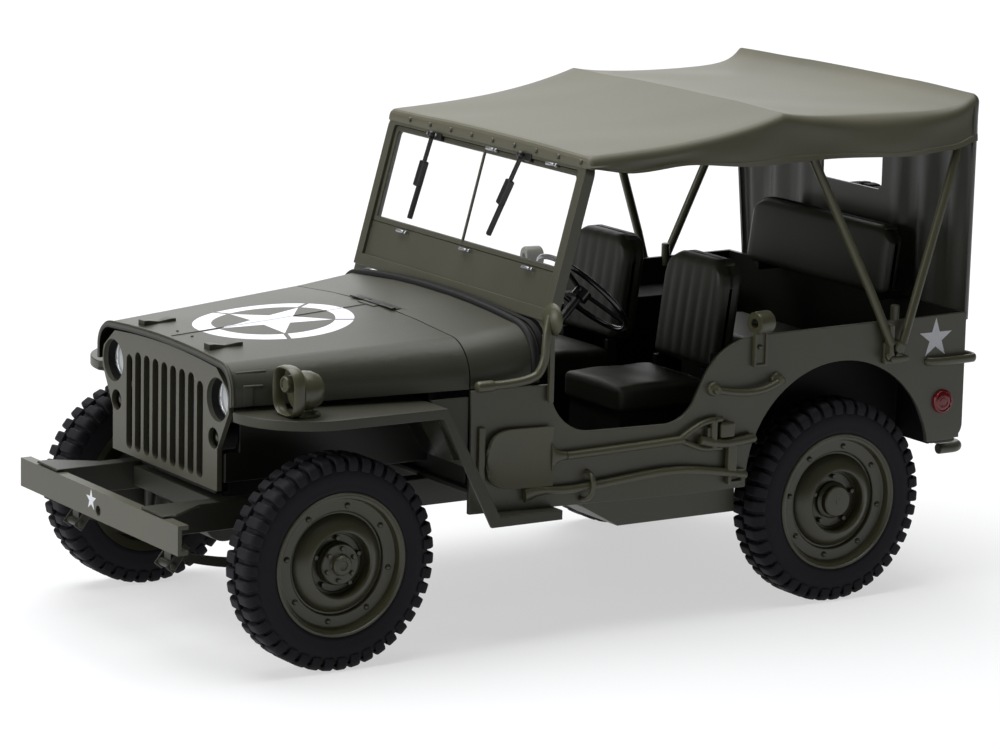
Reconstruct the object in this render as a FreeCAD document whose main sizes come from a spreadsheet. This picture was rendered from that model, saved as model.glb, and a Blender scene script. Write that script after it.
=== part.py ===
"""Scale model, 1:18, of a wartime army 4x4 car with its soft top up, as a parametric document.

Millimetres.  +X is forward, +Y the car's left, +Z up.  The origin is on the ground, at the
centre of the model's outline seen from above.  The car has left-hand drive.
Every size and place comes from the sheet "sizes"; an expression names its cells by alias.
"""
import FreeCAD
import Part
import Sketcher
import math
import os
import re

os.makedirs("parts", exist_ok=True)
doc = FreeCAD.newDocument("army_car")
Vector = FreeCAD.Vector

# ---------------------------------------------------------------- driving sizes
SIZES = {
    # wheels and their places
    "wheelbase": 112.9, "front_overhang": 29.05, "rear_overhang": 42.85,
    "wheel_side": 37.4, "tyre_radius": 20.2, "tyre_width": 8.5, "tread_width": 6.4,
    "rim_radius": 13.5, "bead_radius": 12.4, "rim_width": 7.8, "rim_wall": 0.7, "rim_lip": 0.5,
    "hub_radius": 3.3, "hub_out": 4.3, "hub_in": 1.6, "disc_dish": 1.7, "disc_wall": 0.8,
    "ring_radius": 9.4, "ring_rise": 1.0, "well_radius": 6.2, "well_depth": 1.9,
    "bead_step": 0.2, "tread_edge": 1.0, "tread_ease": 0.5, "ring_ease": 0.6,
    "spindle_radius": 1.5, "running_gap": 0.05, "rest_gap": 0.3, "seat_gap": 0.1,
    # how far a cutting piece runs past what it cuts, and how far joined pieces lap
    "past": 1.0, "lap": 0.4,
    # steering and axles
    "kingpin_side": 31.0, "arm_reach": 8.0, "arm_drop": 4.0, "arm_thick": 1.35, "pin_radius": 0.5,
    "open_pin_gap": 0.3, "tie_rod_radius": 0.7, "tie_rod_drop": 1.7, "eye_radius": 1.3,
    "eye_half": 0.85,
    "axle_radius": 1.8, "joint_gap": 0.15, "diff_radius": 5.0, "diff_side": 6.0, "diff_width": 7.0,
    "drum_radius": 8.6, "drum_side": 33.0, "drum_width": 1.8, "knuckle_radius": 2.6,
    # springs and shock absorbers
    "spring_side": 18.8, "spring_width": 2.5, "spring_half": 24.0, "spring_rise": 4.2,
    "spring_drop": 4.1, "leaf_pack": 1.6, "hanger_length": 2.4, "clamp_half": 3.2,
    "clamp_plate": 1.0, "clamp_edge": 0.9, "shock_side": 24.0, "shock_radius": 1.1,
    "shock_ahead": 5.2, "shock_pin": 0.6, "shock_foot": 0.9,
    # frame, bumper
    "rail_out": 20.6, "rail_width": 3.4, "rail_z": 23.8, "rail_height": 5.5, "member_depth": 3.0,
    "bumper_half": 32.35, "bumper_z": 23.1, "bumper_height": 5.6, "bumper_depth": 2.2,
    "bumper_wall": 0.8, "crank_hole": 1.0, "crank_side": 0.6, "crank_drop": 0.9,
    "gusset_length": 11.0, "gusset_side": 26.0, "gusset_edge": 1.0, "gusset_back": 0.3,
    "member_inset": 0.8, "front_member": 4.0, "screw_member": 10.0, "seat_member": 4.0,
    # grille and lamps
    "grille_ahead": 14.95, "grille_wall": 1.0, "grille_foot": 21.0, "grille_half": 25.4,
    "grille_z": 31.4, "grille_flare_z": 39.5, "grille_wide_z": 47.0, "slot_z": 32.6,
    "slot_top_z": 52.0, "slot_half": 1.2, "slot_pitch": 3.55, "slot_count": 9,
    "grille_corner": 6.0, "outer_slot_drop": 1.0,
    "lamp_side": 20.9, "lamp_z": 48.7, "lamp_hole": 4.1, "marker_side": 19.5, "marker_z": 41.2,
    "marker_hole": 2.0, "lamp_set_back": 1.2, "lamp_depth": 3.0, "lamp_wall": 0.4,
    # hood and cowl, each wide as half its width
    "sheet": 0.9, "hood_front_half": 26.9, "hood_front_z": 55.9, "hood_front_corner": 5.0,
    "hood_front_crown": 0.9, "hood_front_hem": 48.3, "hood_lip": 0.4, "hood_behind": 30.15,
    "hood_rear_half": 36.0, "hood_rear_z": 58.3, "hood_rear_corner": 7.5, "hood_rear_crown": 1.4,
    "belt_z": 49.3, "cowl_length": 15.3, "cowl_half": 36.4, "cowl_z": 60.0, "cowl_corner": 7.0,
    "cowl_crown": 1.5, "panel_gap": 0.3, "block_length": 6.5, "block_width": 2.4,
    "block_height": 1.0, "block_side": 13.0, "block_ahead": 9.0,
    "hinge_radius": 0.5, "hinge_half": 8.0, "hinge_middle": 3.0, "hinge_leaf": 1.6,
    "leaf_rise": 0.3,
    # front wings
    "wing_z": 47.5, "wing_half": 42.0, "wing_lip": 1.9, "wing_nose": 15.0, "wing_corner": 15.0,
    "wing_apron": 20.8, "apron_z": 33.0, "wing_knee": 22.0, "wing_foot": 34.0,
    "wing_foot_z": 25.6, "step_end": 47.8,
    # tub
    "wall": 1.0, "tub_half": 41.0, "cowl_side_half": 36.8, "sill_z": 25.4, "door_sill_z": 39.5,
    "door_front_behind": 1.5, "door_front_curve": 9.0, "door_rear_ahead": 35.2,
    "door_rear_foot": 6.2, "door_rear_rise": 3.6, "door_rear_curve": 7.2, "door_edge_run": 2.65,
    "door_edge_drop": 7.0, "door_shoulder": 14.7, "door_shoulder_curve": 13.9,
    "tub_z": 55.2, "tail_behind": 30.65, "tail_hem_z": 30.0, "tail_corner": 3.0,
    "tail_rise": 0.5, "belt_gap": 0.2, "arch_above": 5.9, "arch_gap": 2.1, "house_in": 28.5,
    "house_roof": 1.4, "house_behind": 1.4, "house_ahead": 0.6,
    "firewall_half": 33.0, "firewall_top_half": 24.0, "firewall_behind": 1.3,
    "dash_top_half": 26.0, "dash_ahead": 1.2, "bulkhead_drop": 2.0, "bulkhead_sheet": 1.2,
    # windscreen
    "screen_behind": 2.7, "screen_z": 60.4, "screen_lean": 15.5, "screen_half": 36.2,
    "screen_height": 31.4, "screen_foot": 3.6, "screen_foot_run": 6.2, "screen_foot_sheet": 1.4,
    "screen_tube": 2.3, "screen_corner": 3.0, "panel_height": 9.3, "panel_sheet": 0.9,
    "glass_frame": 0.95, "glass_corner": 0.8, "glass_frame_depth": 1.1, "glass_gap": 0.01,
    "glass_sheet": 0.5, "divider": 0.5, "divider_depth": 0.45, "seal_width": 1.3,
    "seal_thick": 1.6, "seal_rise": 0.4, "seal_side": 0.2, "seal_depth": 5.0,
    "wiper_side": 13.0, "wiper_length": 15.0, "wiper_half": 0.4, "wiper_thick": 0.6,
    # soft top, each station: half width, rise above the screen's top, drop to the hem
    "cloth": 0.8, "top_front_x": 1.6, "top_front_half": 37.3, "top_front_rise": 1.25,
    "top_front_drop": 2.4, "ridge_one_half": 38.2, "ridge_one_rise": 6.9, "ridge_one_drop": 9.7,
    "sag_half": 38.6, "sag_rise": 5.85, "sag_drop": 8.3, "kick_half": 40.2, "kick_rise": 5.85,
    "kick_drop": 8.4, "ridge_two_half": 41.0, "ridge_two_rise": 9.65, "ridge_two_drop": 10.2,
    "ridge_one_ahead": 13.5, "sag_behind": 9.0, "kick_ahead": 9.5, "top_overhang": 1.7,
    "top_corner": 2.0, "top_crown": 0.5, "curtain_foot_half": 38.5, "curtain_foot_z": 56.2,
    "curtain_corner": 4.0, "window_half": 10.3, "window_z": 75.8, "window_height": 8.6,
    # bows: each leg's places ahead of the pivot
    "bow_radius": 0.9, "bow_bend": 2.0, "bow_behind": 12.2, "bow_side": 42.8, "bow_foot_z": 51.0,
    "bow_knee": 10.0, "bow_gap": 0.3, "front_bow_foot": 1.4, "front_bow_knee": 5.4,
    "front_bow_hem": 17.2, "rear_bow_foot": -1.2, "rear_bow_hem": -17.0,
    "plate_behind": 2.6, "plate_ahead": 2.8, "plate_height": 3.7, "knob_radius": 1.2,
    "knob_drop": 2.0,
    # side mirror and its arm
    "mirror_side": 39.2, "mirror_z": 62.4, "mirror_radius": 2.4, "arm_radius": 0.9,
    "arm_bend": 4.5, "arm_low_z": 49.4, "arm_forward": 15.2, "arm_inward": 1.2, "arm_near": 1.6,
    "arm_rise": 0.4, "arm_lean": 0.4, "arm_elbow": 6.5, "mirror_depth": 1.5, "mirror_back": 1.9,
    "post_width": 0.9, "post_back": 1.6, "post_depth": 1.2, "post_drop": 2.0,
    # seats and controls
    "seat_in": 7.0, "seat_out": 27.0, "seat_z": 43.4, "cushion": 4.3, "seat_front": 24.5,
    "seat_depth": 20.5, "back_thick": 6.2, "back_low": 46.0, "back_high": 67.0, "back_lean": 8.0,
    "stand_inset": 1.0, "post_side": 1.4, "post_front": 0.1, "post_rear": 2.2,
    "bench_ahead": 9.0, "bench_half": 24.0, "bench_z": 46.0, "bench_depth": 18.0,
    "bench_back_low": 56.8, "bench_back_high": 70.4, "bench_back_thick": 4.6,
    "bench_inset": 2.0, "bench_post_side": 20.0, "bench_post": 1.6,
    "wheel_hub_behind": 21.4, "wheel_hub_side": 18.0, "wheel_hub_z": 61.8, "column_slope": 45.0,
    "hand_wheel_radius": 10.6, "hand_wheel_rim": 0.55, "column_radius": 0.8, "hub_depth": 1.5,
    "hub_boss": 1.7, "hub_rise": 0.5, "spoke_width": 0.9, "spoke_sheet": 0.6,
    "lever_radius": 0.5, "lever_bend": 1.5, "lever_lean": 3.0, "gear_lever": 17.0,
    "gear_lever_x": 5.0, "gear_lever_side": 1.5, "drive_lever": 11.0, "drive_lever_x": 3.0,
    "drive_lever_side": -3.5, "low_lever_side": -6.0,
    # running gear blocks
    "engine_half": 8.5, "engine_length": 30.0, "engine_z": 26.0, "engine_height": 25.0,
    "engine_behind": 8.0, "radiator_half": 15.0, "radiator_thick": 3.0, "radiator_height": 21.0,
    "radiator_behind": 3.0, "gearbox_half": 5.0, "gearbox_length": 26.0, "gearbox_drop": 2.0,
    "gearbox_clear": 0.5, "transfer_length": 8.0, "transfer_drop": 0.6, "shaft_radius": 1.1,
    "shaft_rise": 1.0, "exhaust_radius": 1.2, "exhaust_side": 13.0, "exhaust_drop": 0.4,
    "exhaust_tail": 6.0, "exhaust_front": 20.0, "muffler_radius": 2.0, "muffler_length": 20.0,
    "muffler_ahead": 4.0, "strap_ahead": 30.0, "strap_width": 2.0,
    "sump_length": 31.0, "sump_z": 20.5, "sump_in": 21.5, "sump_out": 36.0,
    "sump_behind": 11.0, "sump_slope": 8.0, "sump_rise": 4.0,
    # spare wheel
    "spare_side": -6.0, "spare_z": 54.4,
    # outside fittings
    "knob_out": 43.75, "reflector_radius": 1.9, "reflector_x": 25.7, "reflector_z": 37.7,
    "reflector_thick": 0.8, "tail_lamp_side": 36.0, "tail_lamp_z": 42.0, "tail_lamp_radius": 1.6,
    "lamp_stand": 1.6, "guard_side": 36.0, "guard_z": 27.0, "guard_stand": 4.0,
    "guard_radius": 1.1, "guard_bend": 2.5, "guard_end": 2.0,
    "screw_bore": 1.5, "screw_depth": 4.5, "boss_wall": 1.2, "boss_drop": 1.6,
    "blackout_ahead": 4.0, "blackout_side": 35.5, "blackout_rise": 5.0, "blackout_radius": 3.1,
    "blackout_behind": 3.0, "blackout_length": 4.6, "blackout_post": 0.8, "hoop_ahead": 4.4,
    "hoop_half": 3.2, "hoop_height": 9.4, "hoop_radius": 0.5, "hoop_bend": 2.6,
    "tool_depth": 1.2, "tool_sunk": 0.4, "tool_radius": 0.75, "tool_in": 0.2, "tool_out": 0.9,
    "shovel_z": 31.0, "shovel_width": 11.0, "shovel_length": 14.0, "shovel_corner": 3.0,
    "shaft_lap": 3.0, "shovel_rise": 5.4, "grip_rise": 6.0, "grip_length": 3.8,
    "grip_height": 5.6, "grip_depth": 1.6, "grip_ahead": 1.4, "haft_ahead": 6.0, "haft_z": 29.6,
    "haft_rise": 0.8, "axe_behind": 3.0, "axe_length": 4.0, "axe_z": 27.5, "axe_height": 7.5,
    "grab_radius": 0.8, "grab_stand": 1.7, "grab_z": 45.5, "grab_behind": 1.2,
    "grab_length": 16.8, "grab_bend": 1.6, "corner_grab_z": 47.0, "corner_grab_ahead": 13.0,
    "corner_grab_behind": 2.4, "corner_grab_in": 4.0, "corner_grab_bend": 1.2,
    "clamp_behind": 16.0, "strap_half": 1.0, "strap_thick": 1.2, "strap_low": 6.5,
    "strap_high": 1.5, "eye_behind": 0.6, "eye_rise": 2.2, "ring_eye": 1.5,
}

# Cells worked out from the driving sizes.
DERIVED = {
    "front_axle_x": "(wheelbase + rear_overhang - front_overhang) / 2",
    "rear_axle_x": "front_axle_x - wheelbase",
    "spring_z": "tyre_radius - spring_drop",
    "arch_z": "tyre_radius + arch_above",
    "arch_radius": "tyre_radius + arch_gap",
    "nose_x": "front_axle_x + front_overhang",
    "grille_x": "front_axle_x + grille_ahead",
    "hood_x": "grille_x + hood_lip",
    "lamp_back_x": "grille_x - grille_wall - lamp_depth - rest_gap",
    "hood_rear_x": "front_axle_x - hood_behind",
    "cowl_x": "hood_rear_x - panel_gap",
    "cowl_rear_x": "hood_rear_x - cowl_length",
    "tail_x": "rear_axle_x - tail_behind",
    "tail_top_z": "tub_z + tail_rise",
    "door_x": "cowl_rear_x - door_front_behind",
    "door_rear_x": "rear_axle_x + door_rear_ahead",
    "rail_top": "rail_z + rail_height",
    "floor_z": "rail_top",
    "rail_in": "rail_out - rail_width",
    "rim_half": "rim_width / 2",
    "bow_x": "rear_axle_x - bow_behind",
    "clamp_x": "door_rear_x - clamp_behind",
    "seat_x": "cowl_rear_x - seat_front",
    "back_x": "seat_x - seat_depth",
    "screen_sin": "sin(screen_lean * 1 deg)",
    "screen_cos": "cos(screen_lean * 1 deg)",
    "screen_x": "cowl_rear_x - screen_behind",
    "screen_top_x": "screen_x - screen_height * screen_sin",
    "screen_top_z": "screen_z + screen_height * screen_cos",
    "ridge_one_x": "rear_axle_x + ridge_one_ahead",
    "top_front_z": "screen_top_z + top_front_rise", "top_front_hem": "top_front_z - top_front_drop",
    "ridge_one_z": "screen_top_z + ridge_one_rise", "ridge_one_hem": "ridge_one_z - ridge_one_drop",
    "sag_z": "screen_top_z + sag_rise", "sag_hem": "sag_z - sag_drop",
    "ridge_two_z": "screen_top_z + ridge_two_rise", "ridge_two_hem": "ridge_two_z - ridge_two_drop",
    "kick_z": "screen_top_z + kick_rise", "kick_hem": "kick_z - kick_drop",
    "top_rear_x": "tail_x - top_overhang",
    "rear_bow_x": "top_rear_x + cloth + bow_gap + bow_radius",
    "rear_bow_z": "kick_z + (ridge_two_z - kick_z) * (kick_ahead - (rear_bow_x + bow_radius"
                  " - top_rear_x)) / kick_ahead - cloth - bow_radius - bow_gap",
    "hinge_x": "hood_rear_x - panel_gap / 2",
    "hinge_z": "hood_rear_z + hood_rear_crown + hinge_radius + running_gap",
    "spare_x": "rear_axle_x - rear_overhang + hub_out",
    "tank_top_z": "seat_z - cushion",
    "column_length": "(wheel_hub_z - floor_z - wall - column_radius) / sin(column_slope * 1 deg)"
                     " - hub_depth",
}

sheet = doc.addObject("Spreadsheet::Sheet", "sizes")
for number, (alias, amount) in enumerate(list(SIZES.items()) + list(DERIVED.items()), start=1):
    formula = amount if isinstance(amount, (int, float)) else "=" + amount
    sheet.set("A%d" % number, alias)
    sheet.set("B%d" % number, str(formula))
    sheet.setAlias("B%d" % number, alias)
doc.recompute()

WORD = re.compile(r"[a-z_]+")
CELLS = set(SIZES) | set(DERIVED)


def bound(text):
    """The expression with each cell's alias spelt out as a cell of the sheet."""
    return WORD.sub(lambda word: "sizes." + word[0] if word[0] in CELLS else word[0], str(text))


def value(text):
    return float(sheet.evalExpression(bound(text)))


def bind(item, **expressions):
    for name, text in expressions.items():
        item.setExpression(name, bound(text))


def place(item, x="0", y="0", z="0"):
    for axis, text in zip("xyz", (x, y, z)):
        item.setExpression("Placement.Base." + axis, bound(text))
    return item


def add(kind, label):
    item = doc.addObject(kind, label)
    item.Label = label
    return item


# ---------------------------------------------------------------- shape helpers
TURN = {
    "X": FreeCAD.Rotation(Vector(0, 1, 0), 90),
    "Y": FreeCAD.Rotation(Vector(1, 0, 0), -90),
    "Z": FreeCAD.Rotation(),
}


def box(label, x, y, z):
    """A box between two expressions along each axis."""
    item = add("Part::Box", label)
    spans = ["(%s) - (%s)" % (high, low) for low, high in (x, y, z)]
    bind(item, Length=spans[0], Width=spans[1], Height=spans[2])
    return place(item, x[0], y[0], z[0])


def cylinder(label, axis, at, radius, length):
    """A cylinder whose low end is centred on `at`, along axis X, Y or Z."""
    item = add("Part::Cylinder", label)
    item.Placement = FreeCAD.Placement(Vector(), TURN[axis])
    bind(item, Radius=radius, Height=length)
    return place(item, *at)


def torus(label, ring, tube):
    item = add("Part::Torus", label)
    bind(item, Radius1=ring, Radius2=tube)
    return item


def cut(label, base, *tools):
    item = add("Part::Cut", label)
    item.Base = base
    item.Tool = tools[0] if len(tools) == 1 else fuse(label + "_tools", *tools)
    return item


def fuse(label, *parts):
    item = add("Part::MultiFuse", label)
    item.Shapes = list(parts)
    return item


def common(label, *parts):
    item = add("Part::MultiCommon", label)
    item.Shapes = list(parts)
    return item


def group(label, *parts):
    """Like pieces that don't touch, kept in one node."""
    item = add("Part::Compound", label)
    item.Links = list(parts)
    return item


def mirrored(label, source):
    """The piece's twin on the other side of the car."""
    item = add("Part::Mirroring", label)
    item.Source = source
    item.Normal = Vector(0, 1, 0)
    return item


def sketch(body, plane, rows, offset="0"):
    """A closed outline.  Each row: u, v and, where an arc runs to the next point, its radius,
    positive when the path turns left.  Every number is a constraint tied to the sheet."""
    outline = body.newObject("Sketcher::SketchObject", body.Label + "_outline")
    origin = [item for item in body.Origin.OriginFeatures if item.Role == plane + "_Plane"][0]
    outline.AttachmentSupport = [(origin, "")]
    outline.MapMode = "FlatFace"
    outline.setExpression("AttachmentOffset.Base.z", bound(offset))
    points = [Vector(value(row[0]), value(row[1]), 0) for row in rows]
    ends = []
    for index, row in enumerate(rows):
        start, stop = points[index], points[(index + 1) % len(rows)]
        if len(row) == 2:
            outline.addGeometry(Part.LineSegment(start, stop), False)
            ends.append((1, 2))
            continue
        radius = value(row[2])
        half = (stop - start) * 0.5
        left = Vector(-half.y, half.x, 0).normalize()
        rise = math.sqrt(max(radius ** 2 - half.Length ** 2, 0.0)) * math.copysign(1, radius)
        centre = start + half + left * rise
        first, last = (start, stop) if radius > 0 else (stop, start)
        angles = [math.atan2(point.y - centre.y, point.x - centre.x) for point in (first, last)]
        circle = Part.Circle(centre, Vector(0, 0, 1), abs(radius))
        outline.addGeometry(Part.ArcOfCircle(circle, angles[0], angles[1]), False)
        ends.append((1, 2) if radius > 0 else (2, 1))
    for index, row in enumerate(rows):
        after = (index + 1) % len(rows)
        outline.addConstraint(
            Sketcher.Constraint("Coincident", index, ends[index][1], after, ends[after][0]))
        for kind, text in (("DistanceX", row[0]), ("DistanceY", row[1])):
            number = outline.addConstraint(
                Sketcher.Constraint(kind, -1, 1, index, ends[index][0], value(text)))
            outline.setExpression("Constraints[%d]" % number, bound(text))
        if len(row) == 3:
            number = outline.addConstraint(
                Sketcher.Constraint("Radius", index, abs(value(row[2]))))
            outline.setExpression("Constraints[%d]" % number, bound("abs(%s)" % row[2]))
    return outline


def pad(label, plane, rows, low, high):
    """A plate of the outline between two heights on the plane's own row axis."""
    body = add("PartDesign::Body", label)
    plate = body.newObject("PartDesign::Pad", label + "_pad")
    plate.Profile = sketch(body, plane, rows, "-(%s)" % high if plane == "XZ" else low)
    bind(plate, Length="(%s) - (%s)" % (high, low))
    return body


def revolved(label, rows):
    """A solid of revolution about its own Y axis.  Each row: radius, height along Y."""
    body = add("PartDesign::Body", label)
    turn = body.newObject("PartDesign::Revolution", label + "_turn")
    profile = sketch(body, "XY", rows)
    turn.Profile = profile
    turn.ReferenceAxis = (profile, ["V_Axis"])
    turn.Angle = 360
    return body


def lofted(label, sections):
    """Straight-ruled skin over outlines across the car.  Each section: x, rows."""
    body = add("PartDesign::Body", label)
    outlines = [sketch(body, "YZ", rows, x) for x, rows in sections]
    doc.recompute()
    skin = body.newObject("PartDesign::AdditiveLoft", label + "_skin")
    skin.Profile = outlines[0]
    skin.Sections = outlines[1:]
    skin.Ruled = True
    return body


def rod_shape(points, radius, bend):
    """A round rod along straight runs joined by tangent arcs."""
    points = [Vector(*point) for point in points]
    edges, start = [], points[0]
    for before, corner, after in zip(points, points[1:], points[2:]):
        inward, outward = (before - corner).normalize(), (after - corner).normalize()
        half = inward.getAngle(outward) / 2
        reach = bend / math.tan(half)
        middle = corner + (inward + outward).normalize() * (bend / math.sin(half) - bend)
        edges.append(Part.LineSegment(start, corner + inward * reach).toShape())
        edges.append(Part.Arc(corner + inward * reach, middle, corner + outward * reach).toShape())
        start = corner + outward * reach
    edges.append(Part.LineSegment(start, points[-1]).toShape())
    section = Part.Wire(Part.makeCircle(radius, points[0], points[1] - points[0]))
    return Part.Wire(edges).makePipeShell([section], True, True)


def solid(label, shape):
    """A piece that only Part's own functions make; its sizes are read from the sheet."""
    item = add("Part::Feature", label)
    item.Shape = shape
    return item


def rod(label, points, radius, bend="bow_bend"):
    places = [[value(text) for text in point] for point in points]
    return solid(label, rod_shape(places, value(radius), value(bend)))


# ---------------------------------------------------------------- wheels
def tyre(label):
    shoulder = "(tread_width / 2)"
    return revolved(label, [
        ("bead_radius", "-rim_half + rim_lip"), ("rim_radius", "-rim_half + rim_lip"),
        ("rim_radius + bead_step", "-rim_half"), ("(rim_radius + tyre_radius) / 2", "-tyre_width / 2"),
        ("tyre_radius - tread_edge", "-%s - tread_ease" % shoulder), ("tyre_radius", "-" + shoulder),
        ("tyre_radius", shoulder), ("tyre_radius - tread_edge", shoulder + " + tread_ease"),
        ("(rim_radius + tyre_radius) / 2", "tyre_width / 2"), ("rim_radius + bead_step", "rim_half"),
        ("rim_radius", "rim_half - rim_lip"), ("bead_radius", "rim_half - rim_lip"),
    ])


def rim(label):
    """Pressed rim and disc with its hub; +Y is outward."""
    face = "(rim_half - disc_dish)"
    back = "(rim_half - disc_dish - disc_wall)"
    well = "(rim_half - well_depth)"
    inner = "(bead_radius - rim_wall)"
    return revolved(label, [
        ("spindle_radius + running_gap", "-hub_in"), ("hub_radius", "-hub_in"),
        ("hub_radius", well + " - disc_wall"), ("well_radius", well + " - disc_wall"),
        ("well_radius + disc_wall", back + " + ring_rise"), ("ring_radius", back + " + ring_rise"),
        ("ring_radius + ring_ease", back), (inner, back),
        (inner, "-rim_half + rim_lip"), ("rim_radius - rim_wall", "-rim_half"),
        ("rim_radius", "-rim_half"), ("rim_radius", "-rim_half + rim_lip"),
        ("bead_radius", "-rim_half + rim_lip"), ("bead_radius", "rim_half - rim_lip"),
        ("rim_radius", "rim_half - rim_lip"), ("rim_radius", "rim_half"),
        ("rim_radius - rim_wall", "rim_half"), (inner, "rim_half - rim_lip"),
        (inner, face), ("ring_radius + ring_ease", face),
        ("ring_radius", face + " + ring_rise"), ("well_radius + disc_wall", face + " + ring_rise"),
        ("well_radius", well), ("hub_radius", well),
        ("hub_radius", "hub_out"), ("0", "hub_out"),
        ("0", "hub_out - disc_wall"), ("spindle_radius + running_gap", "hub_out - disc_wall"),
    ])


nodes = []
WHEELS = (  # name, axle, side
    ("front_left", "front_axle_x", 1), ("front_right", "front_axle_x", -1),
    ("rear_left", "rear_axle_x", 1), ("rear_right", "rear_axle_x", -1),
)
OUT_RIGHT = FreeCAD.Placement(Vector(), FreeCAD.Rotation(Vector(0, 0, 1), 180))
for name, axle, side in WHEELS:
    for piece in (tyre("tyre_" + name), rim("rim_" + name)):
        if side < 0:
            piece.Placement = OUT_RIGHT
        nodes.append(place(piece, axle, "%d * wheel_side" % side, "tyre_radius"))

OUT_REAR = FreeCAD.Placement(Vector(), FreeCAD.Rotation(Vector(0, 0, 1), 90))
for piece in (tyre("spare_tyre"), rim("spare_rim")):
    piece.Placement = OUT_REAR
    nodes.append(place(piece, "spare_x", "spare_side", "spare_z"))

# ---------------------------------------------------------------- axles and steering
AXLE_Z = "tyre_radius"


def axle(label, x, half):
    """Tube with the differential housing right of the middle, and spring pads."""
    pads = [box("%s_pad_%d" % (label, side), (x + " - clamp_half", x + " + clamp_half"),
                ("%d * spring_side - spring_width / 2" % side,
                 "%d * spring_side + spring_width / 2" % side),
                ("spring_z + leaf_pack / 2 + seat_gap", AXLE_Z)) for side in (1, -1)]
    tube = cylinder(label + "_tube", "Y", (x, "-(%s)" % half, AXLE_Z), "axle_radius",
                    "2 * (%s)" % half)
    bowl = cylinder(label + "_bowl", "Y", (x, "-diff_side - diff_width / 2", AXLE_Z),
                    "diff_radius", "diff_width")
    return [tube, bowl] + pads


nodes.append(fuse("front_axle", *axle("front_axle_core", "front_axle_x",
                                      "kingpin_side - knuckle_radius - joint_gap")))
rear = axle("rear_axle_core", "rear_axle_x", "drum_side")
for side in (1, -1):
    low = "drum_side" if side > 0 else "-drum_side - drum_width"
    rear.append(cylinder("rear_drum_%d" % side, "Y", ("rear_axle_x", low, AXLE_Z),
                         "drum_radius", "drum_width"))
spindle_reach = "(wheel_side + hub_out - disc_wall - rest_gap)"
rear.append(cylinder("rear_spindle", "Y", ("rear_axle_x", "-" + spindle_reach, AXLE_Z),
                     "spindle_radius", "2 * " + spindle_reach))
nodes.append(fuse("rear_axle", *rear))

ARM_Y = "kingpin_side"
ARM_X = "(front_axle_x - arm_reach)"
ROD_Z = "(tyre_radius - tie_rod_drop)"


def knuckle(label, side):
    """Steering knuckle, made on the left and mirrored for the right."""
    name = label + "_"
    core = [
        cylinder(name + "ball", "Z", ("front_axle_x", "kingpin_side", AXLE_Z + " - arm_drop"),
                 "knuckle_radius", "2 * arm_drop"),
        cylinder(name + "spindle", "Y", ("front_axle_x", "kingpin_side", AXLE_Z),
                 "spindle_radius", spindle_reach + " - kingpin_side"),
        cylinder(name + "drum", "Y", ("front_axle_x", "drum_side", AXLE_Z), "drum_radius",
                 "drum_width"),
        box(name + "arm", (ARM_X + " - eye_radius", "front_axle_x"),
            (ARM_Y + " - eye_radius", ARM_Y + " + eye_radius"),
            (AXLE_Z + " - arm_drop", AXLE_Z + " - arm_drop + arm_thick")),
        cylinder(name + "pin", "Z", (ARM_X, ARM_Y, AXLE_Z + " - arm_drop"), "pin_radius",
                 "arm_drop - tie_rod_drop + eye_half"),
    ]
    if side > 0:
        return fuse(label, *core)
    return mirrored(label, fuse(name + "twin", *core))


nodes.append(knuckle("knuckle_left", 1))
nodes.append(knuckle("knuckle_right", -1))

rod_bar = cylinder("tie_rod_bar", "Y", (ARM_X, "-" + ARM_Y, ROD_Z), "tie_rod_radius",
                   "2 * " + ARM_Y)
eyes = [cylinder("tie_rod_eye_%d" % side, "Z", (ARM_X, "%d * %s" % (side, ARM_Y),
                 ROD_Z + " - eye_half"), "eye_radius", "2 * eye_half")
        for side in (1, -1)]
holes = [cylinder("tie_rod_hole_%d" % side, "Z", (ARM_X, "%d * %s" % (side, ARM_Y),
                  ROD_Z + " - tie_rod_radius - past"), "pin_radius + " + gap,
                  "2 * (tie_rod_radius + past)")
         for side, gap in ((1, "running_gap"), (-1, "open_pin_gap"))]
nodes.append(cut("tie_rod", fuse("tie_rod_solid", rod_bar, *eyes), *holes))


# ---------------------------------------------------------------- springs
def spring(label, x, side):
    """Leaf pack sagging below the axle, its hangers up to the frame, and the clamp plate."""
    y = ("%d * spring_side - spring_width / 2" % side, "%d * spring_side + spring_width / 2" % side)
    radius = "((spring_half ^ 2 + spring_rise ^ 2) / (2 * spring_rise))"
    low, high = "(spring_z - leaf_pack / 2)", "(spring_z + leaf_pack / 2)"
    pack = pad(label + "_pack", "XZ", [
        (x + " - spring_half", low + " + spring_rise", radius + " + leaf_pack"),
        (x + " + spring_half", low + " + spring_rise"),
        (x + " + spring_half", high + " + spring_rise", "-" + radius),
        (x + " - spring_half", high + " + spring_rise"),
    ], *y)
    hangers = [box("%s_hanger_%d" % (label, end),
                   ("%s + %d * (spring_half - hanger_length / 2) - hanger_length / 2" % (x, end),
                    "%s + %d * (spring_half - hanger_length / 2) + hanger_length / 2" % (x, end)),
                   y, (low + " + spring_rise - lap", "rail_z")) for end in (1, -1)]
    plate = box(label + "_plate", (x + " - clamp_half", x + " + clamp_half"),
                (y[0] + " - clamp_edge", y[1] + " + clamp_edge"),
                (low + " - clamp_plate", low + " + lap / 2"))
    return fuse(label, pack, plate, *hangers)


nodes.append(group("leaf_springs", *[
    spring("%s_spring_%d" % (name, side), x, side)
    for name, x in (("front", "front_axle_x"), ("rear", "rear_axle_x")) for side in (1, -1)]))


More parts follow.
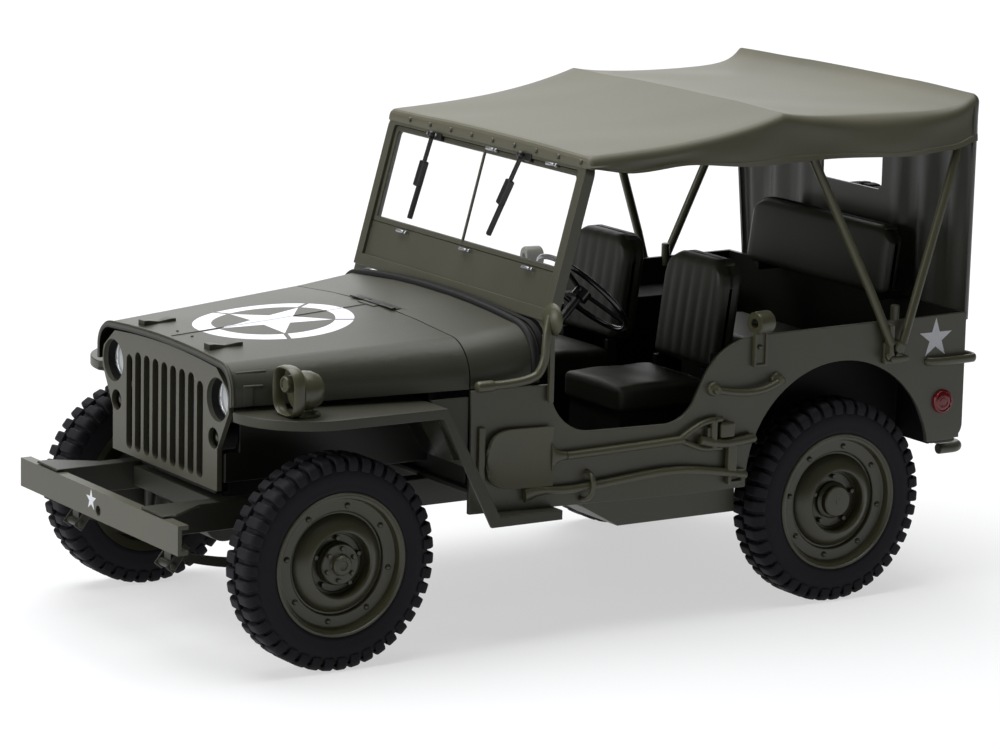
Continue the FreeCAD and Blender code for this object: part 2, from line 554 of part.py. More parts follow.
def shock(label, x, side):
    """Shock absorber outside the rail, hung on a pin from it."""
    y = "%d * shock_side" % side
    tube = cylinder(label + "_tube", "Z", (x, y, "spring_z"), "shock_radius", "rail_top - spring_z")
    top = cylinder(label + "_pin", "Y", (x, "rail_out" if side > 0 else "-shock_side",
                   "rail_top - shock_radius"), "shock_pin", "shock_side - rail_out")
    foot_y = "spring_side + spring_width / 2" if side > 0 else "-shock_side"
    foot = cylinder(label + "_foot", "Y", (x, foot_y, "spring_z + shock_foot"), "shock_pin",
                    "shock_side - spring_side - spring_width / 2")
    return fuse(label, tube, top, foot)


nodes.append(group("shock_absorbers", *[
    shock("shock_%s_%d" % (name, side), x, side)
    for name, x in (("front", "front_axle_x + shock_ahead"), ("rear", "rear_axle_x - shock_ahead"))
    for side in (1, -1)]))

# ---------------------------------------------------------------- frame and bumper
rail_end = "nose_x - bumper_depth"
gusset = pad("rail_gusset", "XY", [
    ("nose_x - gusset_back", "rail_in"), ("nose_x - gusset_back", "gusset_side"),
    ("nose_x - bumper_depth - gusset_edge", "gusset_side"), ("nose_x - gusset_length", "rail_out"),
    ("nose_x - gusset_length", "rail_in")], "bumper_z + bumper_height + seat_gap", "rail_top")
rail_left = fuse("rail_left", box("rail_bar", ("tail_x + wall", rail_end), ("rail_in", "rail_out"),
                                  ("rail_z", "rail_top")), gusset)
nodes.append(group("frame_rails", rail_left, mirrored("rail_right", rail_left)))

MEMBERS = (  # name, centre x, holds a screw for a display base
    ("front", "grille_x - front_member", False), ("middle", "cowl_rear_x - screw_member", True),
    ("seat", "back_x - seat_member", True), ("rear", "tail_x + wall + member_depth / 2", False),
)
members = []
member_low, member_high = "(rail_z + member_inset)", "(rail_top - member_inset)"
for name, x, screwed in MEMBERS:
    beam = box("member_" + name, (x + " - member_depth / 2", x + " + member_depth / 2"),
               ("-rail_in", "rail_in"), (member_low, member_high))
    if screwed:
        boss = cylinder("boss_" + name, "Z", (x, "0", member_low + " - boss_drop"),
                        "screw_bore + boss_wall", member_high + " - %s + boss_drop" % member_low)
        bore = cylinder("bore_" + name, "Z", (x, "0", member_low + " - boss_drop"), "screw_bore",
                        "screw_depth")
        beam = cut("bored_" + name, fuse("bossed_" + name, beam, boss), bore)
    members.append(beam)
nodes.append(group("frame_crossmembers", *members))

bumper = box("bumper_bar", ("nose_x - bumper_depth", "nose_x"), ("-bumper_half", "bumper_half"),
             ("bumper_z", "bumper_z + bumper_height"))
channel = box("bumper_channel", ("nose_x - bumper_depth - past", "nose_x - bumper_wall"),
              ("-bumper_half - past", "bumper_half + past"),
              ("bumper_z + bumper_wall", "bumper_z + bumper_height - bumper_wall"))
crank = cylinder("bumper_crank", "X", ("nose_x - bumper_depth - past", "crank_side",
                 "bumper_z + bumper_height / 2 - crank_drop"), "crank_hole",
                 "bumper_depth + 2 * past")
nodes.append(cut("front_bumper", bumper, channel, crank))

# ---------------------------------------------------------------- running gear blocks
engine_rear, engine_front = "(grille_x - engine_behind - engine_length)", "(grille_x - engine_behind)"
nodes.append(box("engine", (engine_rear, engine_front), ("-engine_half", "engine_half"),
                 ("engine_z", "engine_z + engine_height")))
radiator_front = "(grille_x - radiator_behind)"
nodes.append(box("radiator", (radiator_front + " - radiator_thick", radiator_front),
                 ("-radiator_half", "radiator_half"), ("rail_top", "rail_top + radiator_height")))
gear_x = "(%s - gearbox_length)" % engine_rear
gearbox = box("gearbox_case", (gear_x, engine_rear), ("-gearbox_half", "gearbox_half"),
              ("engine_z - gearbox_drop", "rail_top - gearbox_clear"))
transfer = box("transfer_case", (gear_x, gear_x + " + transfer_length"),
               ("-diff_side - diff_width / 2", "-gearbox_half + past"),
               ("tyre_radius - transfer_drop", "rail_top - 2 * gearbox_clear"))
nodes.append(fuse("gearbox", gearbox, transfer))
shaft_z = "(tyre_radius + shaft_rise)"
nodes.append(group("propeller_shafts", *[
    cylinder("shaft_" + name, "X", (low, "-diff_side", shaft_z), "shaft_radius", high + " - " + low)
    for name, low, high in (
        ("front", "(%s + transfer_length)" % gear_x, "(front_axle_x - diff_radius)"),
        ("rear", "(rear_axle_x + diff_radius)", gear_x))]))
pipe_y, pipe_z = "-exhaust_side", "(rail_z - exhaust_radius - exhaust_drop)"
pipe = cylinder("exhaust_pipe", "X", ("back_x - exhaust_tail", pipe_y, pipe_z), "exhaust_radius",
                "grille_x - exhaust_front - back_x + exhaust_tail")
can = cylinder("exhaust_can", "X", ("back_x + muffler_ahead", pipe_y, pipe_z), "muffler_radius",
               "muffler_length")
strap = box("exhaust_strap", ("back_x + strap_ahead", "back_x + strap_ahead + strap_width"),
            ("-rail_out + past", "-exhaust_side + exhaust_radius / 2"), (pipe_z, "rail_z"))
nodes.append(fuse("exhaust", pipe, can, strap))

# ---------------------------------------------------------------- tub
arch_x = "rear_axle_x"


def on_arch(z):
    """Half the arch's width at a height."""
    return "sqrt(arch_radius ^ 2 - (%s - arch_z) ^ 2)" % z


door_foot = "(door_rear_x + door_rear_foot)"
SIDE = [
    ("hood_rear_x", "sill_z"), ("hood_rear_x", "belt_z - belt_gap"), ("door_x", "belt_z - belt_gap"),
    ("door_x", "door_sill_z + door_front_curve", "-door_front_curve"),
    ("door_x - door_front_curve", "door_sill_z"),
    (door_foot, "door_sill_z", "-door_rear_curve"),
    ("door_rear_x", "door_sill_z + door_rear_rise"),
    ("door_rear_x - door_edge_run", "tub_z - door_edge_drop", "door_shoulder_curve"),
    ("door_rear_x - door_shoulder", "tub_z"),
    ("tail_x", "tail_top_z"), ("tail_x", "tail_hem_z + tail_corner", "tail_corner"),
    ("tail_x + tail_corner", "tail_hem_z"),
    (arch_x + " - " + on_arch("tail_hem_z"), "tail_hem_z", "-arch_radius"),
    (arch_x + " + " + on_arch("sill_z"), "sill_z"),
]
PLAN = [
    ("hood_rear_x", "cowl_side_half"), ("door_rear_x", "tub_half"), ("tail_x", "tub_half"),
    ("tail_x", "tub_half - wall"), ("door_rear_x", "tub_half - wall"),
    ("hood_rear_x", "cowl_side_half - wall"),
]
side_left = common("body_side_left", pad("side_outline", "XZ", SIDE, "cowl_side_half - 4 * past",
                                         "tub_half + 4 * past"),
                   pad("side_band", "XY", PLAN, "sill_z - 4 * past", "tub_z + 4 * past"))
nodes += [side_left, mirrored("body_side_right", side_left)]

inner_half = "(tub_half - wall)"
FLOOR = [
    ("hood_rear_x", "-cowl_side_half + wall"), ("hood_rear_x", "cowl_side_half - wall"),
    ("door_rear_x", inner_half), ("tail_x + wall", inner_half),
    ("tail_x + wall", "-" + inner_half), ("door_rear_x", "-" + inner_half),
]
house_low = "(%s - arch_radius - house_behind)" % arch_x
house_high = "(%s + arch_radius + house_ahead)" % arch_x
house_top = "(arch_z + arch_radius + house_roof)"


def house(side):
    """Box over the rear wheel, open below and at the arch."""
    edge = ("house_in", inner_half) if side > 0 else ("-" + inner_half, "-house_in")
    inside = ("house_in + wall", inner_half + " + past")
    if side < 0:
        inside = ("-(%s)" % inside[1], "-(%s)" % inside[0])
    outer = box("house_outer_%d" % side, (house_low, house_high), edge, ("floor_z", house_top))
    inner = box("house_inner_%d" % side, (house_low + " + wall", house_high + " - wall"), inside,
                ("floor_z - past", house_top + " - wall"))
    return cut("house_%d" % side, outer, inner)


nodes.append(group("wheel_houses", house(1), house(-1)))
floor_plate = pad("floor_plate", "XY", FLOOR, "floor_z", "floor_z + wall")
wells = [box("floor_well_%d" % side, (house_low, house_high),
             ("house_in", "tub_half + past") if side > 0 else ("-tub_half - past", "-house_in"),
             ("floor_z - past", "floor_z + wall + past")) for side in (1, -1)]
nodes.append(cut("floor", floor_plate, *wells))
panel = box("rear_sheet", ("tail_x", "tail_x + wall"), ("-" + inner_half, inner_half),
            ("tail_hem_z", "tail_top_z"))
post = cylinder("spare_post", "X", ("spare_x - hub_in", "spare_side", "spare_z"), "spindle_radius",
                "tail_x - spare_x + hub_in")
nodes.append(fuse("rear_panel", panel, post))


# ---------------------------------------------------------------- hood, cowl, grille
def crown_arc(flat, crown):
    """Radius of the arc that rises by the crown between two points `flat` either side."""
    return "((%s ^ 2 + (%s) ^ 2) / (2 * (%s)))" % (flat, crown, crown)


def arch_section(half, top, corner, crown, hem, inset="0", drop="0"):
    """Outline across the car: upright sides, rounded corners, crowned top, straight foot."""
    side = "((%s) - (%s))" % (half, inset)
    radius = "((%s) - (%s))" % (corner, inset)
    roof = "((%s) - (%s))" % (top, inset)
    flat = "(%s - %s)" % (side, radius)
    arc = "-" + crown_arc(flat, crown)
    foot = "((%s) - (%s))" % (hem, drop)
    return [
        ("-" + side, foot), ("-" + side, "%s - %s" % (roof, radius), "-" + radius),
        ("-" + flat, roof, arc), (flat, roof, "-" + radius),
        (side, "%s - %s" % (roof, radius)), (side, foot),
    ]


def shell(label, sections, thickness):
    """Open-ended, open-bottomed skin through sections of (x, half, top, corner, crown, hem)."""
    outer = lofted(label + "_outer", [(x, arch_section(*rest)) for x, *rest in sections])
    inner = lofted(label + "_inner", [(x, arch_section(*rest, inset=thickness, drop="past"))
                                      for x, *rest in sections])
    return outer, inner


HOOD = [
    ("hood_rear_x", "hood_rear_half", "hood_rear_z", "hood_rear_corner", "hood_rear_crown",
     "belt_z"),
    ("hood_x", "hood_front_half", "hood_front_z", "hood_front_corner", "hood_front_crown",
     "hood_front_hem"),
]


def hinge(label, low, high, ahead):
    """Barrel on the hood's hinge line, with a low leaf ahead of it or behind it."""
    barrel = cylinder(label + "_barrel", "Y", ("hinge_x", low, "hinge_z"), "hinge_radius",
                      "(%s) - (%s)" % (high, low))
    span = (("hinge_x + panel_gap / 2 + running_gap", "hinge_x + hinge_leaf") if ahead > 0
            else ("hinge_x - hinge_leaf", "hinge_x - panel_gap / 2 - running_gap"))
    return barrel, box(label + "_leaf", span, (low, high), (
        "hinge_z - hinge_radius - sheet / 2", "hinge_z - hinge_radius + leaf_rise"))


outer, inner = shell("hood", HOOD, "sheet")
block_foot = "hood_front_z + hood_front_crown"
blocks = [box("hood_block_%d" % side, ("hood_x - block_ahead", "hood_x - block_ahead + block_length"),
              ("%d * block_side - block_width / 2" % side, "%d * block_side + block_width / 2" % side),
              (block_foot + " / 2", block_foot + " + block_height")) for side in (1, -1)]
nodes.append(fuse("hood", cut("hood_skin", outer, inner), *blocks,
                  *hinge("hood_hinge", "-hinge_middle", "hinge_middle", 1)))

COWL = [
    ("cowl_rear_x", "cowl_half", "cowl_z", "cowl_corner", "cowl_crown", "belt_z"),
    ("cowl_x", "hood_rear_half", "hood_rear_z", "hood_rear_corner", "hood_rear_crown", "belt_z"),
]
outer, inner = shell("cowl", COWL, "sheet")
nodes.append(fuse("cowl", cut("cowl_skin", outer, inner),
                  *hinge("cowl_hinge_left", "hinge_middle + seat_gap", "hinge_half", -1),
                  *hinge("cowl_hinge_right", "-hinge_half", "-hinge_middle - seat_gap", -1)))



def bulkhead(label, half, top_half, top, shoulder, foot, low, high):
    """Plate across the car with sloped upper corners."""
    rows = [("-" + top_half, top), (top_half, top), (half, shoulder), (half, foot),
            ("-" + half, foot), ("-" + half, shoulder)]
    return pad(label, "YZ", rows, low, high)


nodes.append(bulkhead("firewall", "firewall_half", "firewall_top_half", "hood_rear_z - bulkhead_drop",
                      "belt_z + bulkhead_drop", "rail_top + wall",
                      "hood_rear_x - firewall_behind - bulkhead_sheet",
                      "hood_rear_x - firewall_behind"))
nodes.append(bulkhead("dashboard", "(cowl_half - sheet - rest_gap)", "dash_top_half",
                      "cowl_z - bulkhead_drop", "belt_z + 2 * bulkhead_drop", "belt_z",
                      "cowl_rear_x + dash_ahead", "cowl_rear_x + dash_ahead + bulkhead_sheet"))

corner = "grille_corner"
grille_top = "(hood_front_z - sheet - rest_gap)"
grille_flat = "(grille_half - %s)" % corner
GRILLE = [
    ("-grille_foot", "grille_z"), ("grille_foot", "grille_z"), ("grille_foot", "grille_flare_z"),
    ("grille_half", "grille_wide_z"), ("grille_half", grille_top + " - " + corner, corner),
    (grille_flat, grille_top, crown_arc(grille_flat, "hood_front_crown")),
    ("-" + grille_flat, grille_top, corner),
    ("-grille_half", grille_top + " - " + corner), ("-grille_half", "grille_wide_z"),
    ("-grille_foot", "grille_flare_z"),
]
plate = pad("grille_plate", "YZ", GRILLE, "grille_x - grille_wall", "grille_x")
through = ("grille_x - grille_wall - past", "grille_x + past")
openings = []
for index in range(SIZES["slot_count"]):
    y = "((%d - (slot_count - 1) / 2) * slot_pitch)" % index
    outermost = index in (0, SIZES["slot_count"] - 1)
    low, high = "slot_z + slot_half", "slot_top_z - slot_half" + " - outer_slot_drop" * outermost
    openings.append(box("slot_%d" % index, through, (y + " - slot_half", y + " + slot_half"),
                        (low, high)))
    for end, z in (("low", low), ("high", high)):
        openings.append(cylinder("slot_%d_%s" % (index, end), "X", (through[0], y, z), "slot_half",
                                 "grille_wall + 2 * past"))
LAMPS = (("lamp", "lamp_side", "lamp_z", "lamp_hole"),
         ("marker", "marker_side", "marker_z", "marker_hole"))
for name, y, z, radius in LAMPS:
    for side in (1, -1):
        openings.append(cylinder("%s_hole_%d" % (name, side), "X",
                                 (through[0], "%d * %s" % (side, y), z), radius,
                                 "grille_wall + 2 * past"))
nodes.append(cut("grille", plate, *openings))
lamps = []
for name, y, z, radius in LAMPS:
    for side in (1, -1):
        at = ("grille_x - grille_wall - lamp_depth", "%d * %s" % (side, y), z)
        bowl = cylinder("%s_bowl_%d" % (name, side), "X", at, radius + " + lamp_wall", "lamp_depth")
        mouth = cylinder("%s_mouth_%d" % (name, side), "X",
                         ("grille_x - grille_wall - lamp_set_back", at[1], z), radius, "lamp_depth")
        lamps.append(cut("%s_%d" % (name, side), bowl, mouth))
nodes.append(group("headlamps", *lamps))


# ---------------------------------------------------------------- front wings
def wing(label):
    """Top plate with a turned-down lip, sloping rear leg, footboard and inner apron."""
    nose = "(front_axle_x + wing_nose)"
    knee = "(front_axle_x - wing_knee)"
    foot = "(front_axle_x - wing_foot)"
    step = "(front_axle_x - step_end)"

    def profile(depth, top="0"):
        return [
            (nose, "wing_z - (%s)" % top), (knee, "wing_z - (%s)" % top),
            (foot + " - (%s)" % top, "wing_foot_z - (%s)" % top),
            (step, "wing_foot_z - (%s)" % top), (step, "wing_foot_z - (%s)" % depth),
            (foot + " + (%s)" % depth, "wing_foot_z - (%s)" % depth),
            (knee + " + (%s) / 2" % depth, "wing_z - (%s)" % depth),
            (nose, "wing_z - (%s)" % depth),
        ]

    def plan(inset, inner):
        front, side = "(%s - (%s))" % (nose, inset), "(wing_half - (%s))" % inset
        beside_grille = "(grille_half + rest_gap + (%s))" % inset
        return [
            (step + " - past", inner), (step + " - past", side),
            (front + " - wing_corner", side, "-wing_corner"),
            (front, side + " - wing_corner"), ("grille_x - grille_wall - (%s)" % inset, beside_grille),
            ("lamp_back_x", beside_grille),
            ("lamp_back_x", "wing_apron"), ("hood_rear_x + seat_gap", "wing_apron"),
            ("hood_rear_x + seat_gap", beside("hood_rear_x") if inner != "0" else "0"),
        ]

    def beside(x):
        """Just outside the tub's side at x."""
        return ("(cowl_side_half + (tub_half - cowl_side_half) * (hood_rear_x - (%s))"
                " / (hood_rear_x - door_rear_x) + seat_gap)" % x)

    inner = beside(step + " - past")
    across = ("wing_apron - 4 * past", "wing_half + 4 * past")
    upright = ("wing_foot_z - 8 * past", "wing_z + 4 * past")
    whole = common(label + "_blank",
                   pad(label + "_profile", "XZ", profile("wing_lip"), *across),
                   pad(label + "_plan", "XY", plan("0", inner), *upright))
    hollow = common(label + "_hollow",
                    pad(label + "_inner_profile", "XZ", profile("wing_lip + past", "sheet"),
                        *across),
                    pad(label + "_inner_plan", "XY", plan("sheet", "0"), *upright))
    apron = box(label + "_apron", ("hood_rear_x + seat_gap", "lamp_back_x"),
                ("wing_apron", "wing_apron + sheet"), ("apron_z", "wing_z - lap"))
    below_lamps = "(marker_z - marker_hole - lamp_wall - rest_gap)"
    front_apron = box(label + "_front_apron", ("lamp_back_x", "grille_x - grille_wall - rest_gap"),
                      ("wing_apron", "wing_apron + sheet"), ("apron_z", below_lamps))
    return fuse(label, cut(label + "_skin", whole, hollow), apron, front_apron)


wing_left = wing("front_wing_left")
nodes += [wing_left, mirrored("front_wing_right", wing_left)]

# ---------------------------------------------------------------- windscreen
SEAL = ("cowl_half + seal_side", "cowl_z + seal_rise", "cowl_corner", "cowl_crown",
        "cowl_z - seal_depth")
seal_span = ("cowl_rear_x - seal_width", "cowl_rear_x")
nodes.append(cut("screen_seal", pad("seal_outer", "YZ", arch_section(*SEAL), *seal_span),
                 pad("seal_inner", "YZ", arch_section(*SEAL, inset="seal_thick", drop="past"),
                     seal_span[0] + " - past", seal_span[1] + " + past")))
screen = FreeCAD.Placement(
    Vector(value("screen_x"), 0, value("screen_z")),
    FreeCAD.Rotation(Vector(0, 1, 0), -value("screen_lean")))


def screen_outline(half, low, high, corner, inset="0"):
    """Outline with rounded upper corners in the windscreen's own plane, z up the slope."""
    side, radius = "(%s - (%s))" % (half, inset), "(%s)" % corner
    foot, head = "(%s + (%s))" % (low, inset), "(%s - (%s))" % (high, inset)
    return [
        ("-" + side, foot), (side, foot), (side, head + " - " + radius, radius),
        (side + " - " + radius, head), ("-(%s - %s)" % (side, radius), head, radius),
        ("-" + side, head + " - " + radius),
    ]


def screen_ring(label, half, low, high, width, thickness, corner, inner_corner):
    """Frame round the outline, `width` broad and `thickness` deep."""
    ring = cut(label, pad(label + "_outer", "YZ", screen_outline(half, low, high, corner),
                          "-(%s) / 2" % thickness, "(%s) / 2" % thickness),
               pad(label + "_opening", "YZ", screen_outline(half, low, high, inner_corner, width),
                   "-(%s)" % thickness, thickness))
    ring.Placement = screen
    return ring


opening_half = "(screen_half - screen_tube)"
tube_ring = screen_ring("screen_tube_ring", "screen_half", "0", "screen_height", "screen_tube",
                        "screen_tube", "screen_corner", "glass_corner + seat_gap")
panel = pad("screen_panel", "YZ", [
    ("-" + opening_half, "screen_tube - lap"), (opening_half, "screen_tube - lap"),
    (opening_half, "panel_height"), ("-" + opening_half, "panel_height")],
    "-panel_sheet / 2", "panel_sheet / 2")
panel.Placement = screen
foot_flat = "(screen_half - screen_foot_run)"
foot = pad("screen_foot_plate", "YZ", [
    ("-screen_half", "screen_tube - lap"), ("-screen_half", "-screen_foot", "-cowl_corner"),
    ("-" + foot_flat, "-seat_gap"), (foot_flat, "-seat_gap", "-cowl_corner"),
    ("screen_half", "-screen_foot"), ("screen_half", "screen_tube - lap")],
    "-screen_foot_sheet / 2", "screen_foot_sheet / 2")
foot.Placement = screen
GLASS_EDGES = (opening_half + " - seat_gap", "panel_height + seat_gap",
               "screen_height - screen_tube - seat_gap")
glass_ring = screen_ring("glass_ring", *GLASS_EDGES, "glass_frame", "glass_frame_depth",
                         "glass_corner", "glass_corner")
divider_ends = "panel_height + rest_gap", "screen_height - screen_tube - rest_gap"
divider = pad("glass_divider", "YZ", [
    ("-divider / 2", divider_ends[0]), ("divider / 2", divider_ends[0]),
    ("divider / 2", divider_ends[1]), ("-divider / 2", divider_ends[1])],
    "glass_sheet / 2 + glass_gap", "glass_sheet / 2 + glass_gap + divider_depth")
divider.Placement = screen
nodes.append(group("windscreen_frame", fuse("screen_outer", tube_ring, panel, foot),
                   fuse("glass_frame", glass_ring, divider)))
glass = pad("windscreen_glass", "YZ", screen_outline(*GLASS_EDGES, "glass_corner", "glass_frame"),
            "-glass_sheet / 2", "glass_sheet / 2")
glass.Placement = screen
nodes.append(glass)
wipers = []
for side in (1, -1):
    y = "(%d * wiper_side)" % side
    ends = "screen_height - wiper_length", "screen_height - screen_tube"
    arm = pad("wiper_arm_%d" % side, "YZ", [
        (y + " - wiper_half", ends[0]), (y + " + wiper_half", ends[0]),
        (y + " + wiper_half", ends[1]), (y + " - wiper_half", ends[1])],
        "screen_tube / 2", "screen_tube / 2 + wiper_thick")
    arm.Placement = screen
    wipers.append(arm)
nodes.append(group("wipers", *wipers))

MIRROR_ARM = [
    ("cowl_rear_x + arm_forward", "mirror_side - arm_inward", "arm_low_z"),
    ("cowl_rear_x + arm_near", "mirror_side", "arm_low_z + arm_rise"),
    ("cowl_rear_x + arm_near - arm_lean * 2", "mirror_side", "arm_low_z + arm_elbow"),
    ("cowl_rear_x + arm_near - arm_lean * 3", "mirror_side", "mirror_z"),
]
arm = rod("mirror_arm", MIRROR_ARM, "arm_radius", "arm_bend")
post = box("screen_post", ("cowl_rear_x - post_back", "cowl_rear_x - post_back + post_depth"),
           ("mirror_side - post_width / 2", "mirror_side + post_width / 2"),
           ("arm_low_z - post_drop", "mirror_z"))
mirror = cylinder("mirror_head", "X", ("cowl_rear_x - mirror_back", "mirror_side - post_width / 2",
                                       "mirror_z"), "mirror_radius", "mirror_depth")
nodes.append(fuse("side_mirror", arm, post, mirror))

# ---------------------------------------------------------------- soft top
top_front = "(screen_top_x + top_front_x)"
TOP = [
    ("top_rear_x", "ridge_two_half", "ridge_two_z", "top_corner", "top_crown", "ridge_two_hem"),
    ("top_rear_x + kick_ahead", "kick_half", "kick_z", "top_corner", "top_crown", "kick_hem"),
    ("ridge_one_x - sag_behind", "sag_half", "sag_z", "top_corner", "top_crown", "sag_hem"),
    ("ridge_one_x", "ridge_one_half", "ridge_one_z", "top_corner", "top_crown", "ridge_one_hem"),
    (top_front, "top_front_half", "top_front_z", "top_corner", "top_crown", "top_front_hem"),
]
outer, inner = shell("canopy", TOP, "cloth")
nodes.append(cut("canopy", outer, inner))
curtain_half = "(ridge_two_half - cloth - 2 * seat_gap)"
curtain_top = "(ridge_two_z - cloth * (1 + (ridge_two_z - kick_z) / kick_ahead) - seat_gap)"
corner_half = "(%s - curtain_corner)" % curtain_half
corner_z = "(%s - curtain_corner)" % curtain_top
curtain_span = ("top_rear_x", "top_rear_x + cloth")
curtain = pad("curtain_sheet", "YZ", [
    ("-curtain_foot_half", "curtain_foot_z"), ("curtain_foot_half", "curtain_foot_z"),
    (curtain_half, corner_z), (corner_half, curtain_top),
    ("-" + corner_half, curtain_top), ("-" + curtain_half, corner_z)], *curtain_span)
window = box("curtain_window", (curtain_span[0] + " - past", curtain_span[1] + " + past"),
             ("-window_half", "window_half"), ("window_z", "window_z + window_height"))
nodes.append(cut("rear_curtain", curtain, window))


def bow(label, cloth_half, hem_z, foot, knee, hem, top):
    """Hoop from one bracket, up the side, over and down to the other bracket."""
    inside = "(%s - cloth - bow_radius - bow_gap)" % cloth_half
    lean = "((bow_side - %s) / (%s - bow_foot_z))" % (inside, hem_z)
    legs = [("bow_x + " + foot, "bow_side", "bow_foot_z")]
    if knee:
        legs.append(("bow_x + " + knee, "bow_side - bow_knee * " + lean, "bow_foot_z + bow_knee"))
    legs += [("bow_x + " + hem, inside, hem_z), (top[0], inside, top[1])]
    return rod(label, legs + [(x, "-(%s)" % y, z) for x, y, z in reversed(legs)], "bow_radius")


nodes.append(group(
    "top_bows",
    bow("bow_front", "ridge_one_half", "ridge_one_hem", "front_bow_foot", "front_bow_knee",
        "front_bow_hem", ("ridge_one_x", "ridge_one_z - cloth - bow_radius - bow_gap")),
    bow("bow_rear", "(ridge_two_half + kick_half) / 2", "ridge_two_hem", "rear_bow_foot", None,
        "rear_bow_hem", ("rear_bow_x", "rear_bow_z"))))

brackets = []
for side in (1, -1):
    sides = ("tub_half", "bow_side + bow_radius"), ("-bow_side - bow_radius", "-tub_half")
    plate = box("bow_plate_%d" % side, ("bow_x - plate_behind", "bow_x + plate_ahead"),
                sides[side < 0], ("bow_foot_z - rest_gap - plate_height", "bow_foot_z - rest_gap"))
    knob = cylinder("bow_knob_%d" % side, "Y", ("bow_x", "tub_half" if side > 0 else "-knob_out",
                    "bow_foot_z - knob_drop"), "knob_radius", "knob_out - tub_half")
    brackets.append(fuse("bow_bracket_%d" % side, plate, knob))
nodes.append(group("bow_brackets", *brackets))

# ---------------------------------------------------------------- seats
def leaning(label, x, y, z, thickness):
    """Cushion between heights, leaning back about its lower front edge."""
    pads = pad(label, "XZ", [
        (x, z[0]), (x + " - (%s) * tan(back_lean * 1 deg)" % ("(%s) - (%s)" % (z[1], z[0])), z[1]),
        (x + " - (%s) * tan(back_lean * 1 deg) - %s" % ("(%s) - (%s)" % (z[1], z[0]), thickness), z[1]),
        (x + " - " + thickness, z[0])], *y)
    return pads


SEATS = (("driver_seat", 1), ("passenger_seat", -1))
for name, side in SEATS:
    y = ("seat_in", "seat_out") if side > 0 else ("-seat_out", "-seat_in")
    base = box(name + "_cushion", ("back_x", "seat_x"), y, ("tank_top_z", "seat_z"))
    back = leaning(name + "_back", "back_x", y, ("back_low", "back_high"), "back_thick")
    nodes.append(group(name, base, back))
bench_x = "(tail_x + bench_ahead)"
bench = box("bench_cushion", (bench_x, bench_x + " + bench_depth"), ("-bench_half", "bench_half"),
            ("bench_z - cushion", "bench_z"))
bench_back = leaning("bench_back", bench_x, ("-bench_half", "bench_half"),
                     ("bench_back_low", "bench_back_high"), "bench_back_thick")
nodes.append(group("rear_seat", bench, bench_back))
stands = []
stand_z = ("floor_z + wall", "tank_top_z")
for name, side in SEATS:
    near, far = ("seat_in", "seat_out") if side > 0 else ("-seat_out", "-seat_in")
    y = (near + " + stand_inset", far + " - stand_inset")
    stand = box(name + "_stand", ("back_x - post_rear", "seat_x - stand_inset"), y, stand_z)
    posts = [box("%s_post_%d" % (name, end), ("back_x - post_rear", "back_x - post_front"),
                 (edge, edge + " + post_side"), ("tank_top_z", "back_low"))
             for end, edge in enumerate((y[0], "(%s) - post_side" % y[1]))]
    stands.append(fuse(name + "_frame", stand, *posts))
bench_legs = box("bench_stand", (bench_x + " + bench_inset", bench_x + " + bench_depth - bench_inset"),
                 ("-bench_half + bench_inset", "bench_half - bench_inset"),
                 ("floor_z + wall", "bench_z - cushion"))
bench_posts = [box("bench_post_%d" % side, ("tail_x + wall", bench_x + " - past"),
                   ("%d * bench_post_side - bench_post / 2" % side,
                    "%d * bench_post_side + bench_post / 2" % side),
                   ("bench_back_low - bench_post", "bench_back_low")) for side in (1, -1)]
nodes.append(group("seat_frames", *stands, bench_legs, *bench_posts))

# ---------------------------------------------------------------- controls
hub = Vector(*[value(text) for text in (
    "cowl_rear_x - wheel_hub_behind", "wheel_hub_side", "wheel_hub_z")])
slope = math.radians(value("column_slope"))
down = Vector(math.cos(slope), 0, -math.sin(slope))
edge = "hand_wheel_rim"
ring = revolved("hand_wheel_ring", [
    ("hand_wheel_radius - " + edge, "0", edge), ("hand_wheel_radius", "-" + edge, edge),
    ("hand_wheel_radius + " + edge, "0", edge), ("hand_wheel_radius", edge, edge)])
hub_boss = cylinder("hand_wheel_boss", "Y", ("0", "seat_gap - hub_depth", "0"), "hub_boss",
                    "hub_depth + hub_rise")
blade = box("hand_wheel_spoke", ("0", "hand_wheel_radius"), ("-spoke_sheet / 2", "spoke_sheet / 2"),
            ("-spoke_width / 2", "spoke_width / 2"))
spokes = []
for turn in range(3):
    spoke = add("Part::Compound", "hand_wheel_spoke_%d" % turn)
    spoke.Links = [blade]
    spoke.Placement = FreeCAD.Placement(Vector(), FreeCAD.Rotation(Vector(0, 1, 0), 120 * turn + 90))
    spokes.append(spoke)
wheel = fuse("steering_wheel", ring, hub_boss, *spokes)
wheel.Placement = FreeCAD.Placement(hub, FreeCAD.Rotation(Vector(0, 1, 0), -down))
nodes.append(wheel)
column = add("Part::Cylinder", "column_tube")
bind(column, Radius="column_radius", Height="column_length")
column.Placement = FreeCAD.Placement(hub + down * value("hub_depth"),
                                     FreeCAD.Rotation(Vector(0, 0, 1), down))
levers = [column]
for name, x, y, length in (
        ("gear", "(seat_x + gear_lever_x)", "gear_lever_side", "gear_lever"),
        ("drive", "(seat_x + drive_lever_x)", "drive_lever_side", "drive_lever"),
        ("low", "(seat_x + drive_lever_x)", "low_lever_side", "drive_lever")):
    levers.append(rod("lever_" + name, [
        (x, y, "floor_z + wall"), (x, y, "floor_z + %s / 2" % length),
        (x + " - lever_lean", y, "floor_z + " + length)], "lever_radius", "lever_bend"))
nodes.append(group("driver_controls", *levers))

